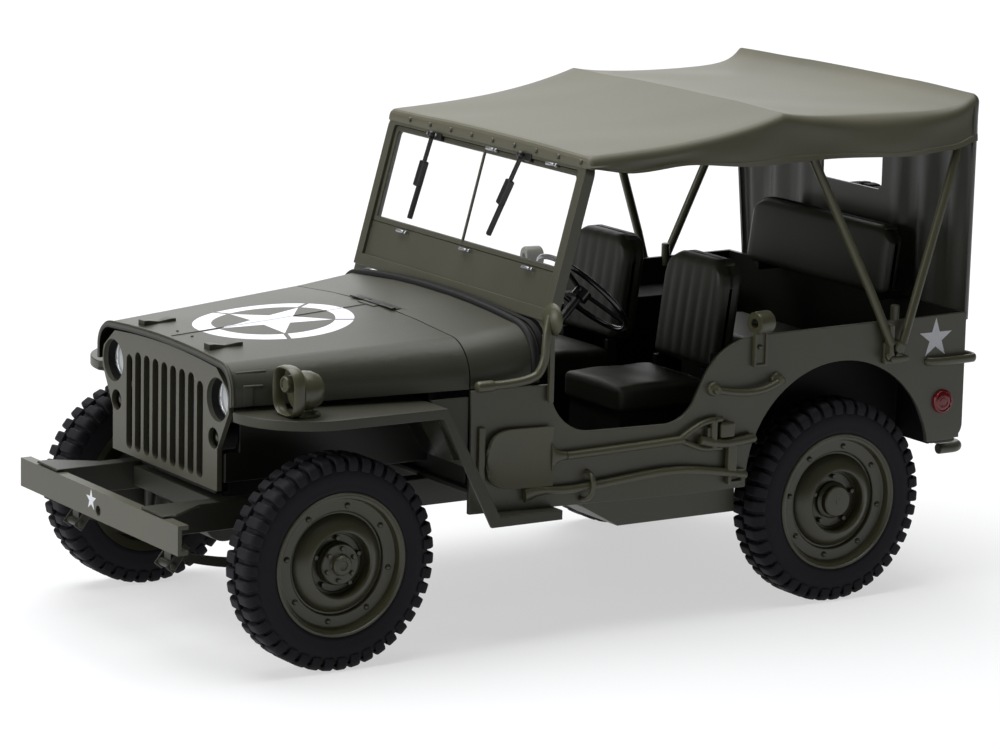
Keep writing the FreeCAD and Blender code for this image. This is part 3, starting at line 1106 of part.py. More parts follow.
# ---------------------------------------------------------------- outside fittings
lamp_x, lamp_y = "(front_axle_x + blackout_ahead)", "blackout_side"
case = cylinder("blackout_case", "X", (lamp_x + " - blackout_behind", lamp_y,
                "wing_z + blackout_rise"), "blackout_radius", "blackout_length")
post = cylinder("blackout_foot", "Z", (lamp_x, lamp_y, "wing_z"), "blackout_post",
                "blackout_rise - past")
hoop_x = lamp_x + " + hoop_ahead"
hoop_in, hoop_out = lamp_y + " - hoop_half", lamp_y + " + hoop_half"
guard = rod("blackout_guard", [
    (hoop_x, hoop_in, "wing_z"), (hoop_x, hoop_in, "wing_z + hoop_height"),
    (hoop_x, hoop_out, "wing_z + hoop_height"), (hoop_x, hoop_out, "wing_z")],
    "hoop_radius", "hoop_bend")
nodes.append(group("blackout_lamp", fuse("blackout_body", case, post), guard))

blade_end, blade_top = "(cowl_rear_x + shovel_length)", "(shovel_z + shovel_width)"
blade = pad("shovel_blade", "XZ", [
    ("cowl_rear_x", "shovel_z"), (blade_end + " - shovel_corner", "shovel_z", "shovel_corner"),
    (blade_end, "shovel_z + shovel_corner"), (blade_end, blade_top + " - shovel_corner",
                                              "shovel_corner"),
    (blade_end + " - shovel_corner", blade_top), ("cowl_rear_x", blade_top)],
    "tub_half - tool_sunk", "tub_half - tool_sunk + tool_depth")
shaft_z = "shovel_z + shovel_rise"
shaft = rod("shovel_shaft", [
    ("cowl_rear_x + shaft_lap", "tub_half + tool_in", shaft_z),
    ("door_rear_x", "tub_half + tool_out", "shovel_z + grip_rise")], "tool_radius")
grip = box("shovel_grip", ("door_rear_x + grip_ahead - grip_length", "door_rear_x + grip_ahead"),
           ("tub_half + seat_gap", "tub_half + seat_gap + grip_depth"),
           ("shovel_z + grip_rise - grip_height / 2", "shovel_z + grip_rise + grip_height / 2"))
axe_x = "(door_rear_x - axe_behind)"
haft = rod("axe_haft", [
    ("cowl_rear_x + haft_ahead", "tub_half + tool_in", "haft_z"),
    (axe_x, "tub_half + tool_out", "haft_z + haft_rise")], "tool_radius")
head = box("axe_head", (axe_x + " - axe_length", axe_x), ("tub_half", "tub_half + grip_depth"),
           ("axe_z", "axe_z + axe_height"))
nodes.append(group("side_tools", fuse("shovel", blade, shaft, grip), fuse("axe", haft, head)))

grabs = []
for side in (1, -1):
    foot, y = ("%d * (%s)" % (side, text) for text in ("tub_half", "tub_half + grab_stand"))
    front, rear = "door_rear_x - grab_behind", "door_rear_x - grab_behind - grab_length"
    grabs.append(rod("grab_%d" % side, [
        (front, foot, "grab_z"), (front, y, "grab_z"), (rear, y, "grab_z"), (rear, foot, "grab_z")],
        "grab_radius", "grab_bend"))
    front, rear = "tail_x + corner_grab_ahead", "tail_x - corner_grab_behind"
    inward, z = "%d * (tub_half - corner_grab_in)" % side, "corner_grab_z"
    grabs.append(rod("corner_grab_%d" % side, [
        (front, foot, z), (front, y, z), (rear, y, z), (rear, inward, z), ("tail_x", inward, z)],
        "grab_radius", "corner_grab_bend"))
nodes.append(group("grab_handles", *grabs))
red_lenses = [
    cylinder("reflector_%d" % side, "Y", ("rear_axle_x - reflector_x", "tub_half" if side > 0
             else "-tub_half - reflector_thick", "reflector_z"), "reflector_radius",
             "reflector_thick") for side in (1, -1)]
red_lenses += [
    cylinder("tail_lamp_%d" % side, "X", ("tail_x - lamp_stand", "%d * tail_lamp_side" % side,
             "tail_lamp_z"), "tail_lamp_radius", "lamp_stand") for side in (1, -1)]
nodes.append(group("reflectors", *red_lenses))
guards = []
for side in (1, -1):
    near, far = "%d * (rail_in + rail_width / 2)" % side, "%d * guard_side" % side
    guards.append(rod("guard_%d" % side, [
        ("tail_x + wall", near, "guard_z"), ("tail_x - guard_stand", near, "guard_z"),
        ("tail_x - guard_stand", far, "guard_z"), ("tail_x + guard_end", far, "guard_z")],
        "guard_radius", "guard_bend"))
nodes.append(group("rear_guards", *guards))
clamps = []
for side in (1, -1):
    low, high = "tub_half", "tub_half + strap_thick"
    y = (low, high) if side > 0 else ("-(%s)" % high, "-(%s)" % low)
    strap = box("clamp_strap_%d" % side, ("clamp_x - strap_half", "clamp_x + strap_half"), y,
                ("tub_z - strap_low", "tub_z + strap_high"))
    eye = cylinder("clamp_eye_%d" % side, "Y", ("clamp_x - eye_behind", y[0], "tub_z + eye_rise"),
                   "ring_eye", "strap_thick")
    clamps.append(fuse("side_clamp_%d" % side, strap, eye))
nodes.append(group("side_clamps", *clamps))
sump_front = "(cowl_rear_x - sump_behind)"
nodes.append(pad("tank_sump", "XZ", [
    (sump_front + " - sump_length", "sump_z"), (sump_front + " - sump_slope", "sump_z"),
    (sump_front, "sump_z + sump_rise"), (sump_front, "floor_z"),
    (sump_front + " - sump_length", "floor_z")], "sump_in", "sump_out"))

# ---------------------------------------------------------------- check and write
doc.recompute()
for item in doc.Objects:
    if "Invalid" in item.State or "Error" in item.State:
        raise RuntimeError("%s failed: %s" % (item.Label, item.State))
for node in nodes:
    if node.Shape.isNull() or not node.Shape.isValid():
        raise RuntimeError("%s has no valid shape" % node.Label)
for node in nodes:
    node.Shape.exportStep("parts/%s.step" % node.Label)
    print("%-20s %3d solid(s) %9.1f mm3" % (node.Label, len(node.Shape.Solids), node.Shape.Volume))
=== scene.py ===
"""Studio view of a 1:18 model of a wartime army 4x4 car with its soft top up.

Lengths are written in millimetres and turned into metres by MM.  +X is forward, +Y the
car's left, +Z up.  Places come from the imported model's own nodes.
"""
import bmesh
import bpy
from contextlib import contextmanager
from math import copysign, cos, exp, hypot, pi, radians, sin, tan
from mathutils import Matrix, Vector


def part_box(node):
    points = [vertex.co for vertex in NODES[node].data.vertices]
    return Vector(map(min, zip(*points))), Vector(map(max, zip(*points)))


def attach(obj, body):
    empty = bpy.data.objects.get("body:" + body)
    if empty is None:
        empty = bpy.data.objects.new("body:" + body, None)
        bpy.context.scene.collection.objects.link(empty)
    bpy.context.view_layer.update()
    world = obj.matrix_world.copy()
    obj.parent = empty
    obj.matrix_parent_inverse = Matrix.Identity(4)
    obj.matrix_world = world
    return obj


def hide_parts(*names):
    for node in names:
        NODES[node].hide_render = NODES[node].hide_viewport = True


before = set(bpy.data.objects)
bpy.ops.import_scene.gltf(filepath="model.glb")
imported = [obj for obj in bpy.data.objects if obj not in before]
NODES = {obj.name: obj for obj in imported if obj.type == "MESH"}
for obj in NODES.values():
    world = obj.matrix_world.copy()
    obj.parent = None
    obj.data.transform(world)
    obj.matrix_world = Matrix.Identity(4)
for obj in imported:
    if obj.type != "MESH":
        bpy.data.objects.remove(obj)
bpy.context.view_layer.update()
MM = 0.001
LEFT, RIGHT = SIDES = (1, -1)
TUB_HALF = 41.0         # half width of the tub behind the doors


# ---- shaders
class Signal:
    """A node's output, so that shader sums read as Python."""

    def __init__(self, finish, socket):
        self.finish, self.socket = finish, socket

    def sum(self, operation, *others):
        inputs = dict(enumerate((self,) + others))
        return self.finish.node("Math", {"operation": operation}, inputs)

    def __rsub__(self, other):
        return self.finish.node("Math", {"operation": "SUBTRACT"}, {0: other, 1: self})

    def __abs__(self):
        return self.sum("ABSOLUTE")


OPERATORS = {"add": "ADD", "radd": "ADD", "sub": "SUBTRACT", "mul": "MULTIPLY",
             "rmul": "MULTIPLY", "truediv": "DIVIDE", "gt": "GREATER_THAN", "lt": "LESS_THAN"}
for sign, operation in OPERATORS.items():
    setattr(Signal, "__%s__" % sign,
            lambda self, other, operation=operation: self.sum(operation, other))


class Finish:
    """One material.  Every node of it is made by node()."""

    def __init__(self, name, tree=None):
        if not tree:
            self.material = bpy.data.materials.new(name)
            self.material.use_nodes = True
            tree = self.material.node_tree
        self.tree = tree
        self.tree.nodes.clear()

    def node(self, kind, settings=None, inputs=None, output=0):
        node = self.tree.nodes.new("ShaderNode" + kind)
        for key, setting in (settings or {}).items():
            if key == "stops":
                for element, (position, grey) in zip(node.color_ramp.elements, setting):
                    element.position, element.color = position, (grey, grey, grey, 1)
            else:
                setattr(node, key, setting)
        for key, amount in (inputs or {}).items():
            socket = node.inputs[key]
            if isinstance(amount, Signal):
                self.tree.links.new(amount.socket, socket)
            else:
                colour = socket.type == "RGBA" and len(amount) == 3
                socket.default_value = (*amount, 1) if colour else amount
        return Signal(self, node.outputs[output]) if len(node.outputs) else None

    def place(self):
        """Where a point is on the piece, in millimetres."""
        spot = self.node("TexCoord", output="Object")
        return self.node("VectorMath", {"operation": "SCALE"}, {0: spot, "Scale": 1 / MM})

    def axes(self, spot):
        split = self.node("SeparateXYZ", inputs={0: spot})
        return [Signal(self, split.socket.node.outputs[index]) for index in range(3)]

    def noise(self, spot, size, detail):
        """Cloudy pattern from 0 to 1 whose patches are `size` millimetres across."""
        return self.node("TexNoise", inputs={"Vector": spot, "Scale": 1 / size, "Detail": detail,
            "Roughness": 0.55})

    def ramp(self, signal, *stops):
        """Grey from the first stop (place, grey) to the second."""
        return self.node("ValToRGB", {"stops": stops}, {0: signal})

    def between(self, low, high, share):
        """Colour from low to high as share goes from 0 to 1."""
        return self.node("Mix", {"data_type": "RGBA"}, {0: share, 6: low, 7: high}, output=2)

    def bump(self, height, depth):
        """Relief of `depth` millimetres."""
        return self.node("Bump", inputs={"Height": height, "Distance": depth * MM})

    def surface(self, **sockets):
        names = {key.replace("_", " ").title().replace("Ior", "IOR"): sockets[key]
            for key in sockets}
        shader = self.node("BsdfPrincipled", inputs=names)
        self.node("OutputMaterial", inputs={"Surface": shader})
        return self.material


def tinted(colour, factor=1.0):
    """A screen colour, 0 to 255, as linear light, made brighter or darker."""
    parts = [part / 255 for part in colour]
    return tuple(min(factor * part / 12.92 if part <= 0.04045
        else factor * ((part + 0.055) / 1.055) ** 2.4, 1.0) for part in parts)


def enamel(name, colour, roughness=0.42, grain=0.012, marks=None, shade_mask=None, gloss=0.5):
    """Sprayed matt enamel, mottled and finely grained; marks adds painted signs, and the shade
    mask gives where painted shade, a near black laid where shade falls, covers the paint."""
    finish = Finish(name)
    spot = finish.place()
    cloud = finish.noise(spot, 26, 3)
    speck = finish.noise(spot, 0.35, 2)
    mottle = finish.ramp(cloud, (0.3, 0), (0.7, 1))
    shade = finish.between(tinted(colour, 0.86), tinted(colour, 1.13), mottle)
    shade = finish.between(shade, tinted(colour, 1.3), (speck - 0.5) * 0.35)
    rough = roughness + (cloud - 0.5) * 0.12 + (speck - 0.5) * 0.08
    if marks:
        painted = marks(*finish.axes(spot))
        worn = finish.ramp(finish.noise(spot, 0.9, 4), (0.3, 0.86), (0.42, 1))
        shade = finish.between(shade, tinted(MARKING), painted * worn)
    # painted shade: near black where the shade mask says shade falls, laid over any sign
    if shade_mask:
        shade = finish.between(shade, tinted(PAINTED_SHADE), shade_mask(*finish.axes(spot)))
    return finish.surface(base_color=shade, roughness=rough, specular_ior_level=gloss,
        normal=finish.bump(speck, grain))


def moulded(name, colour, roughness, fine=0.004, **more):
    """Smooth plastic or plated metal, faintly hazed; fine is its grain's depth."""
    finish = Finish(name)
    spot = finish.place()
    haze, fleck = finish.noise(spot, 7, 3), finish.noise(spot, 0.5, 2)
    shade = finish.between(tinted(colour, 0.88), tinted(colour, 1.08), haze)
    rough = roughness + (haze - 0.5) * 0.08 + (fleck - 0.5) * 0.04
    return finish.surface(base_color=shade, roughness=rough, normal=finish.bump(fleck, fine),
        **more)


def star_points(across, up, reach, first=0.0):
    """Where a five-pointed star is, and each tip's axes, forward and sideways."""
    inside, tips = 0.0, []
    for tip in range(5):
        angle = radians(first + 72 * tip)
        forward = across * cos(angle) + up * sin(angle)
        sideways = up * cos(angle) - across * sin(angle)
        inside = (forward < reach * cos(radians(72))) + inside
        tips.append((forward, sideways))
    return inside > 3.5, tips


# Marks and painted shade masks: each takes a point's place and gives 1 where it paints, 0
# elsewhere.
def hood_star(x, y, z):
    """Star in a ring that narrow bridges break at the star's tips."""
    x, y = x - HOOD_STAR[0], y - HOOD_STAR[1]
    star, tips = star_points(x, y, HOOD_STAR[2])
    far = (x * x + y * y).sum("SQRT")
    ring = (far > HOOD_STAR[3]) * (far < HOOD_STAR[4])
    for forward, sideways in tips:
        ring = ring * (1 - (forward > 0) * (abs(sideways) < BRIDGE_HALF))
    return (star + ring).sum("MINIMUM", 1.0) * (z > 55)


def side_star(x, y, z):
    star, _ = star_points(x - SIDE_STAR[0], z - SIDE_STAR[1], SIDE_STAR[2], 90)
    return star * (abs(y) > 40.7)


def bumper_star(x, y, z):
    star, _ = star_points(y - BUMPER_STAR[0], z - BUMPER_STAR[1], BUMPER_STAR[2], 90)
    return star * (x > 92)


def tub_inside_shade(x, y, z):
    """Painted shade on the inner face of the tub's sides, whose outer face widens from the cowl to
    the door.
    """
    return abs(y) < (39.73 - x * 0.0883).sum("MINIMUM", TUB_HALF) - 0.4


def hood_underside_shade(x, y, z):
    """Painted shade on the under side of the hood, half its skin's thickness in, and on its hinge.
    """
    share = (NOSE_X - x) / HOOD_LONG
    wide, flat = abs(y), HOOD_FLAT[0] + share * HOOD_FLAT[1]
    across = (wide / flat).sum("MINIMUM", 1.0)
    crown = (HOOD_CROWN[0] + share * HOOD_CROWN[1]) * (1 - across * across)
    out = (wide - flat).sum("MAXIMUM", 0.0)
    up = (z - 50.85 - crown).sum("MAXIMUM", 0.0)
    under = (out * out + up * up).sum("SQRT") < HOOD_CORNER[0] + share * HOOD_CORNER[1]
    return (under + (x < 34.1) * (z > 59.8)).sum("MINIMUM", 1.0)


# painted shade on the cowl's hinge leaves, in the gap under the hood's rear edge
def cowl_hinge_shade(x, y, z):
    return (x > 30.9) * (z > 59.75)


def rear_inside_shade(x, y, z):
    """Painted shade on the face of the rear panel towards the seats."""
    return x > REAR_FACE + 0.6


# painted shade on the inner aprons under the front wings
def under_wing_shade(x, y, z):
    return (abs(y) < 27.5) * (z < 46.3)


HOOD_STAR = (55.2, 0.4, 11.3, 11.8, 15.4)     # x, y, reach of the tips, ring inside and outside
BRIDGE_HALF = 0.42
SIDE_STAR = (-72.6, 50.95, 4.2)
BUMPER_STAR = (-2.3, 26.5, 2.15)
# the second olive is the body's olive made darker for the hood, cowl and wings, as painted shade
# on their tops
OLIVE, SHADED_OLIVE, FITTING_OLIVE = (74, 73, 60), (63, 63, 54), (74, 74, 54)
# the first colour is painted shade, the near black laid where shade falls; the second is the white
# of the painted signs
PAINTED_SHADE, MARKING = (24, 24, 20), (236, 239, 246)
REAR_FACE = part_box("body_side_left")[0][0] / MM
NOSE_X, HOOD_LONG = 78.7, 45.5
# the hood's half flat, crown and inner corner: at the nose, and what they gain to the rear
HOOD_FLAT, HOOD_CROWN, HOOD_CORNER = (21.9, 6.6), (0.9, 0.5), (4.5, 2.5)

# the hood, cowl, rear, side and wing enamels carry painted shade where their masks say
paint = enamel("olive_enamel", OLIVE)
hood_paint = enamel("hood_enamel", SHADED_OLIVE, marks=hood_star, shade_mask=hood_underside_shade, gloss=0.28)
cowl_paint = enamel("cowl_enamel", SHADED_OLIVE, shade_mask=cowl_hinge_shade, gloss=0.3)
rear_paint = enamel("rear_enamel", OLIVE, shade_mask=rear_inside_shade)
side_paint = enamel("side_enamel", OLIVE, marks=side_star, shade_mask=tub_inside_shade)
wing_paint = enamel("wing_enamel", SHADED_OLIVE, shade_mask=under_wing_shade, gloss=0.3)
bumper_paint = enamel("bumper_enamel", OLIVE, marks=bumper_star)
fitting_paint = enamel("fitting_enamel", FITTING_OLIVE, 0.38)
tool_paint = enamel("tool_enamel", FITTING_OLIVE, 0.38)
# painted shade: the floor, firewall, dashboard and seat frames are near black for the shade inside
# the tub
interior_shade_paint = enamel("interior_shade_enamel", (26, 26, 22), 0.6)
wheel_paint = enamel("wheel_enamel", (62, 61, 42), 0.36)
soft_top = enamel("soft_top_vinyl", (88, 86, 69), 0.5)
# the rear curtain is the canopy's vinyl made darker, as painted shade inside the top
curtain_vinyl = enamel("curtain_vinyl", (66, 66, 60), 0.4)
seat_vinyl = enamel("seat_vinyl", (46, 46, 37), 0.5)
rubber = enamel("tyre_rubber", (22, 22, 27), 0.7, gloss=0.25)
seal_rubber = enamel("seal_rubber", (20, 20, 20), 0.6, gloss=0.3)
underbody = enamel("underbody_enamel", (44, 44, 36), 0.5)
# near black of the steering wheel, seals, engine and radiator, and painted shade in the wheel
# houses and lamp holes
dark = enamel("black_and_shade", (14, 14, 14), 0.65, gloss=0.25)
fitting_dark = moulded("black_fittings", (26, 26, 24), 0.35)
black_gloss = moulded("black_plastic", (12, 12, 12), 0.16)
bright_steel = moulded("bright_steel", (176, 178, 182), 0.3, metallic=0.8)
chrome = moulded("chrome", (238, 240, 243), 0.16, 0.0005, metallic=1.0)
# the headlamp reflector is plated silver given little metal, so it shows white: partly painted
# reflection
reflector = moulded("lamp_reflector", (240, 244, 248), 0.3, 0.0005, metallic=0.25)
lens_glass = moulded("clear_lens", (246, 249, 252), 0.06, 0.0002, alpha=0.22, coat_weight=1.0)
marker_glass = moulded("olive_lens", (26, 26, 19), 0.2, 0.0005)
red_plastic = moulded("red_lens", (128, 6, 18), 0.2)

# ---- finish of each node
def coat(piece, look):
    """Give the piece one material and no other."""
    piece.data.materials.clear()
    piece.data.materials.append(look)


glass = Finish("clear_glass")
glass.surface(base_color=(1, 1, 1), roughness=0.02, alpha=0.06)
LOOKS = (
    (rubber, "tyre spare_tyre"),
    (wheel_paint, "rim spare_rim"),
    (soft_top, "canopy"),
    (curtain_vinyl, "rear_curtain"),
    (seat_vinyl, "driver_seat passenger_seat rear_seat"),
    (dark, "engine radiator gearbox steering_wheel screen_seal"),
    (underbody, "leaf_springs front_axle rear_axle knuckle tie_rod shock_absorbers frame "
                "propeller_shafts exhaust"),
    (glass.material, "windscreen_glass"),
    (interior_shade_paint, "floor wheel_houses"))
for name, node in NODES.items():
    look = paint
    for chosen, starts in LOOKS:
        if name.startswith(tuple(starts.split())):
            look = chosen
    coat(node, look)


# ---- modelling helpers
def within(share):
    """The share, kept from 0 to 1."""
    return min(max(share, 0), 1)


def span(node):
    """Lowest and highest corners of a CAD node, in millimetres."""
    return [Vector(corner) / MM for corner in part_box(node)]


def middle(node):
    low, high = span(node)
    return (low + high) / 2


def added(name, data):
    """A new object in the scene."""
    holder = bpy.data.objects.new(name, data)
    bpy.context.scene.collection.objects.link(holder)
    return holder


def only(piece):
    """Leave nothing else selected."""
    bpy.ops.object.select_all(action="DESELECT")
    piece.select_set(True)
    bpy.context.view_layer.objects.active = piece


def begin(kind, at=(0, 0, 0), scale=(1, 1, 1), **sizes):
    """A primitive to start a piece from, at its size and place in millimetres."""
    sizes = {key: size * MM if key.endswith(("radius", "depth", "size")) else size
        for key, size in sizes.items()}
    getattr(bpy.ops.mesh, "primitive_%s_add" % kind)(location=Vector(at) * MM, **sizes)
    piece = bpy.context.active_object
    piece.scale = scale
    only(piece)
    bpy.ops.object.transform_apply(location=True, rotation=True, scale=True)
    return piece


def block(low, high):
    """A box between two corners, to be shaped further."""
    low, high = Vector(low), Vector(high)
    return begin("cube", (low + high) / 2, high - low, size=1)


@contextmanager
def editing(piece):
    """Edit mode on one piece, with everything selected at first."""
    only(piece)
    bpy.ops.object.mode_set(mode="EDIT")
    bpy.ops.mesh.select_all(action="SELECT")
    yield piece
    bpy.ops.object.mode_set(mode="OBJECT")


def choose(piece, kind, test):
    """Select the piece's points, edges or faces (VERT, EDGE, FACE) that pass the test."""
    bpy.ops.mesh.select_mode(type=kind)
    bpy.ops.mesh.select_all(action="DESELECT")
    mesh = bmesh.from_edit_mesh(piece.data)
    for item in {"VERT": mesh.verts, "EDGE": mesh.edges, "FACE": mesh.faces}[kind]:
        if test(item):
            item.select_set(True)
    mesh.select_flush(True)
    bmesh.update_edit_mesh(piece.data)


def facing(x, y, z, least=0.9):
    """Test for a face whose outward side looks along the direction."""
    way = Vector((x, y, z)).normalized()
    return lambda face: face.normal.dot(way) > least


def cut_at(place, way, **more):
    """In edit mode, cut the whole piece by a plane through a place in metres."""
    bpy.ops.mesh.select_all(action="SELECT")
    bpy.ops.mesh.bisect(plane_co=place, plane_no=way, **more)


def recessed(piece, rim, depth):
    """Sink the piece's outer face, but for a rim."""
    with editing(piece):
        choose(piece, "FACE", facing(0, 1, 0))
        bpy.ops.mesh.inset(thickness=rim * MM)
        bpy.ops.mesh.extrude_region_move(TRANSFORM_OT_translate={"value": (0, -depth * MM, 0)})
    return piece


def is_open(edge):
    return len(edge.link_faces) == 1


def modified(piece, kind, **settings):
    """Add a modifier and apply it."""
    only(piece)
    modifier = piece.modifiers.new(kind.lower(), kind)
    for key, setting in settings.items():
        setattr(modifier, key, setting)
    bpy.ops.object.modifier_apply(modifier=modifier.name)
    return piece


def eased(piece, width, segments=2, angle=30):
    """Round every edge sharper than the angle."""
    modified(piece, "BEVEL", width=width * MM, segments=segments, limit_method="ANGLE",
        angle_limit=radians(angle), harden_normals=False)
    return smooth(piece)


def chip(low, high, ease, segments=2):
    """A box between two corners with rounded edges."""
    return eased(block(low, high), ease, segments)


def smooth(piece, angle=38):
    only(piece)
    bpy.ops.object.shade_smooth_by_angle(angle=radians(angle))
    return piece


def tidy(piece, gap=0.004):
    """Merge doubled points and turn every face outwards."""
    with editing(piece):
        bpy.ops.mesh.remove_doubles(threshold=gap * MM)
        bpy.ops.mesh.normals_make_consistent(inside=False)
    return piece


def reshape(piece, rule):
    """Move each point of the piece by a rule on its place in millimetres."""
    for point in piece.data.vertices:
        point.co = Vector(rule(*(point.co / MM))) * MM
    piece.data.update()
    return piece


def turned(rings, count, ends="", angle=None, place=None):
    """A lathe shape about Z.  Each ring: radius, height.  ends is "last" to fill the last ring,
    "both" to fill the first too, or "joined" to join the last ring to the first."""
    radius, height = rings[0]
    piece = begin("circle", (0, 0, height), vertices=count, radius=radius, fill_type="NGON"
        if ends == "both" else "NOTHING")
    with editing(piece):
        bpy.ops.mesh.select_mode(type="EDGE")
        for wide, high in rings[1:]:
            if ends == "both" and (wide, high) == rings[1]:
                choose(piece, "EDGE", is_open)
            bpy.ops.mesh.extrude_edges_move(
                TRANSFORM_OT_translate={"value": (0, 0, (high - height) * MM)})
            bpy.ops.transform.resize(value=(wide / radius, wide / radius, 1),
                center_override=(0, 0, high * MM))
            radius, height = wide, high
        if ends in ("last", "both"):
            bpy.ops.mesh.edge_face_add()
        if ends == "joined":
            choose(piece, "EDGE", is_open)
            bpy.ops.mesh.bridge_edge_loops()
    tidy(piece)
    if angle:
        smooth(piece, angle)
    return moved(piece, place) if place else piece


def copied(piece, place, name=None):
    """A copy with its own mesh, set by a matrix whose lengths are metres."""
    twin = piece.copy()
    twin.data = piece.data.copy()
    twin.name = twin.data.name = name or piece.name
    bpy.context.scene.collection.objects.link(twin)
    twin.data.transform(place)
    if place.determinant() < 0:
        twin.data.flip_normals()
    return twin


def shift(x, y, z, degrees=0, axis="Z"):
    """Matrix that turns a piece and then moves it to a place."""
    return Matrix.Translation(Vector((x, y, z)) * MM) @ spin(degrees, axis)


def spin(degrees, axis="Z"):
    return Matrix.Rotation(radians(degrees), 4, axis)


MIRROR = Matrix.Diagonal((1, -1, 1, 1))


def joined(name, pieces):
    """One piece out of several."""
    only(pieces[0])
    for piece in pieces:
        piece.select_set(True)
    if len(pieces) > 1:
        bpy.ops.object.join()
    pieces[0].name = pieces[0].data.name = name
    return pieces[0]


def scattered(name, piece, places):
    """Copies of a piece at each place, as one; the first is used up."""
    copies = [copied(piece, place) for place in places]
    bpy.data.objects.remove(piece)
    return joined(name, copies)


def moved(piece, place):
    piece.data.transform(place)
    return piece


def both_sides(piece):
    """The piece and its mirror image on the car's other side, as one."""
    return joined(piece.name, [piece, copied(piece, MIRROR)])


def fit(piece, look, stands_for=(), body="body", even=True):
    """Give the piece its material and the body it rides on, and hide the nodes it stands for;
    even keeps the shading of large flat faces flat up to their rounded edges."""
    if even:
        modified(piece, "WEIGHTED_NORMAL", keep_sharp=True)
    coat(piece, look)
    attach(piece, body)
    if stands_for:
        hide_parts(*stands_for)
    return piece


def shell_of(node, name):
    """A copy of a CAD node's shape, its loose triangles merged."""
    piece = copied(NODES[node], Matrix.Identity(4), name)
    piece.parent, piece.matrix_world = None, Matrix.Identity(4)
    with editing(piece):
        bpy.ops.mesh.remove_doubles(threshold=0.002 * MM)
        bpy.ops.mesh.dissolve_limited(angle_limit=radians(1.5))
    return piece


def softened(node, name, width=0.22, segments=2, angle=30):
    """The CAD node's own shape with its sharp edges rounded."""
    return eased(shell_of(node, name), width, segments, angle)


def tube(places, radius, steps=8):
    """Bent rod on a smooth line that its corner places steer."""
    curve = bpy.data.curves.new("rod", "CURVE")
    curve.dimensions = "3D"
    line = curve.splines.new("NURBS")
    line.points.add(len(places) - 1)
    for point, place in zip(line.points, places):
        point.co = (*(Vector(place) * MM), 1)
    line.order_u, line.use_endpoint_u = 3, True
    line.resolution_u = steps
    curve.bevel_depth, curve.bevel_resolution, curve.use_fill_caps = radius * MM, 3, True
    only(added("rod", curve))
    bpy.ops.object.convert(target="MESH")
    return smooth(tidy(bpy.context.active_object), 45)


def dome(radius, height, sides=10):
    """Low round head of a rivet or snap, on the XY plane."""
    piece = turned([(radius, -0.1), (radius, height * 0.45), (radius * 0.72, height * 0.85),
        (radius * 0.3, height)], sides, "last")
    only(piece)
    bpy.ops.object.shade_smooth()
    return piece


def bar(start, end, radius, sides=16, ease=0.15):
    """Round bar between two points, its ends eased."""
    start, end = Vector(start), Vector(end)
    way = end - start
    piece = begin("cylinder", vertices=sides, radius=radius, depth=way.length)
    moved(piece, shift(*((start + end) / 2)) @ way.to_track_quat("Z", "Y").to_matrix().to_4x4())
    return eased(piece, min(ease, radius * 0.6), 2)


# ---- wheels
# how a wheel made about Z is set on its axle, and how far round it stands
AXLE_TURN = {LEFT: spin(-90, "X") @ spin(23), RIGHT: spin(180) @ spin(-90, "X") @ spin(5)}
WHEELS = {"front_left": LEFT, "front_right": RIGHT, "rear_left": LEFT, "rear_right": RIGHT}
TREAD_RADIUS, TREAD_HALF, SHOULDER_BEND = 20.18, 2.75, 1.45
LUGS_EACH_SIDE = 42
# half of the tyre's skin from the tread's middle to the bead: radius, height off the mid-plane
CARCASS = ((19.3, 0.0), (19.25, 2.4), (18.8, 3.3), (17.7, 3.85), (16.7, 4.12), (15.6, 4.2),
    (14.75, 4.1), (14.5, 4.2), (13.9, 4.1), (13.3, 3.75), (12.7, 3.0))


def tread_lug():
    """One bar of the tread: along the crown and over the shoulder."""
    length, depth = 6.2, 1.1
    lug = block((0, -0.94, 0.3), (depth, 0.94, length))
    with editing(lug):
        for cut in (1.6, 2.75, 3.3, 3.9, 4.5, 5.1, 5.7):
            cut_at((0, 0, cut * MM), (0, 0, 1))

    def over_shoulder(deep, across, along):
        bend = min(max(along - TREAD_HALF, 0) / SHOULDER_BEND, pi / 2)
        down = max(along - TREAD_HALF - SHOULDER_BEND * pi / 2, 0)
        deep = deep * (1 - 0.5 * bend / (pi / 2))
        radial = TREAD_RADIUS - SHOULDER_BEND * (1 - cos(bend)) - down - deep * cos(bend)
        axial = min(along, TREAD_HALF) + SHOULDER_BEND * sin(bend) - deep * sin(bend)
        narrow = 1 + 0.22 * deep / depth - 0.1 * min(down / 2, 1)
        return radial, across * narrow, axial

    reshape(lug, over_shoulder)
    return eased(lug, 0.24, 2, 50)


def tyre():
    """Bar-tread tyre about Z, its outer wall towards +Z."""
    half = [(radius, height) for radius, height in CARCASS]
    skin = [(radius, -height) for radius, height in reversed(half[1:])] + half
    carcass = turned(skin, 96, "joined", 40)
    pitch = 360 / LUGS_EACH_SIDE
    outer = [spin(pitch * step) for step in range(LUGS_EACH_SIDE)]
    flip = Matrix.Diagonal((1, 1, -1, 1))
    inner = [spin(pitch * (step + 0.5)) @ flip for step in range(LUGS_EACH_SIDE)]
    return joined("tyre", [carcass, scattered("lugs", tread_lug(), outer + inner)])


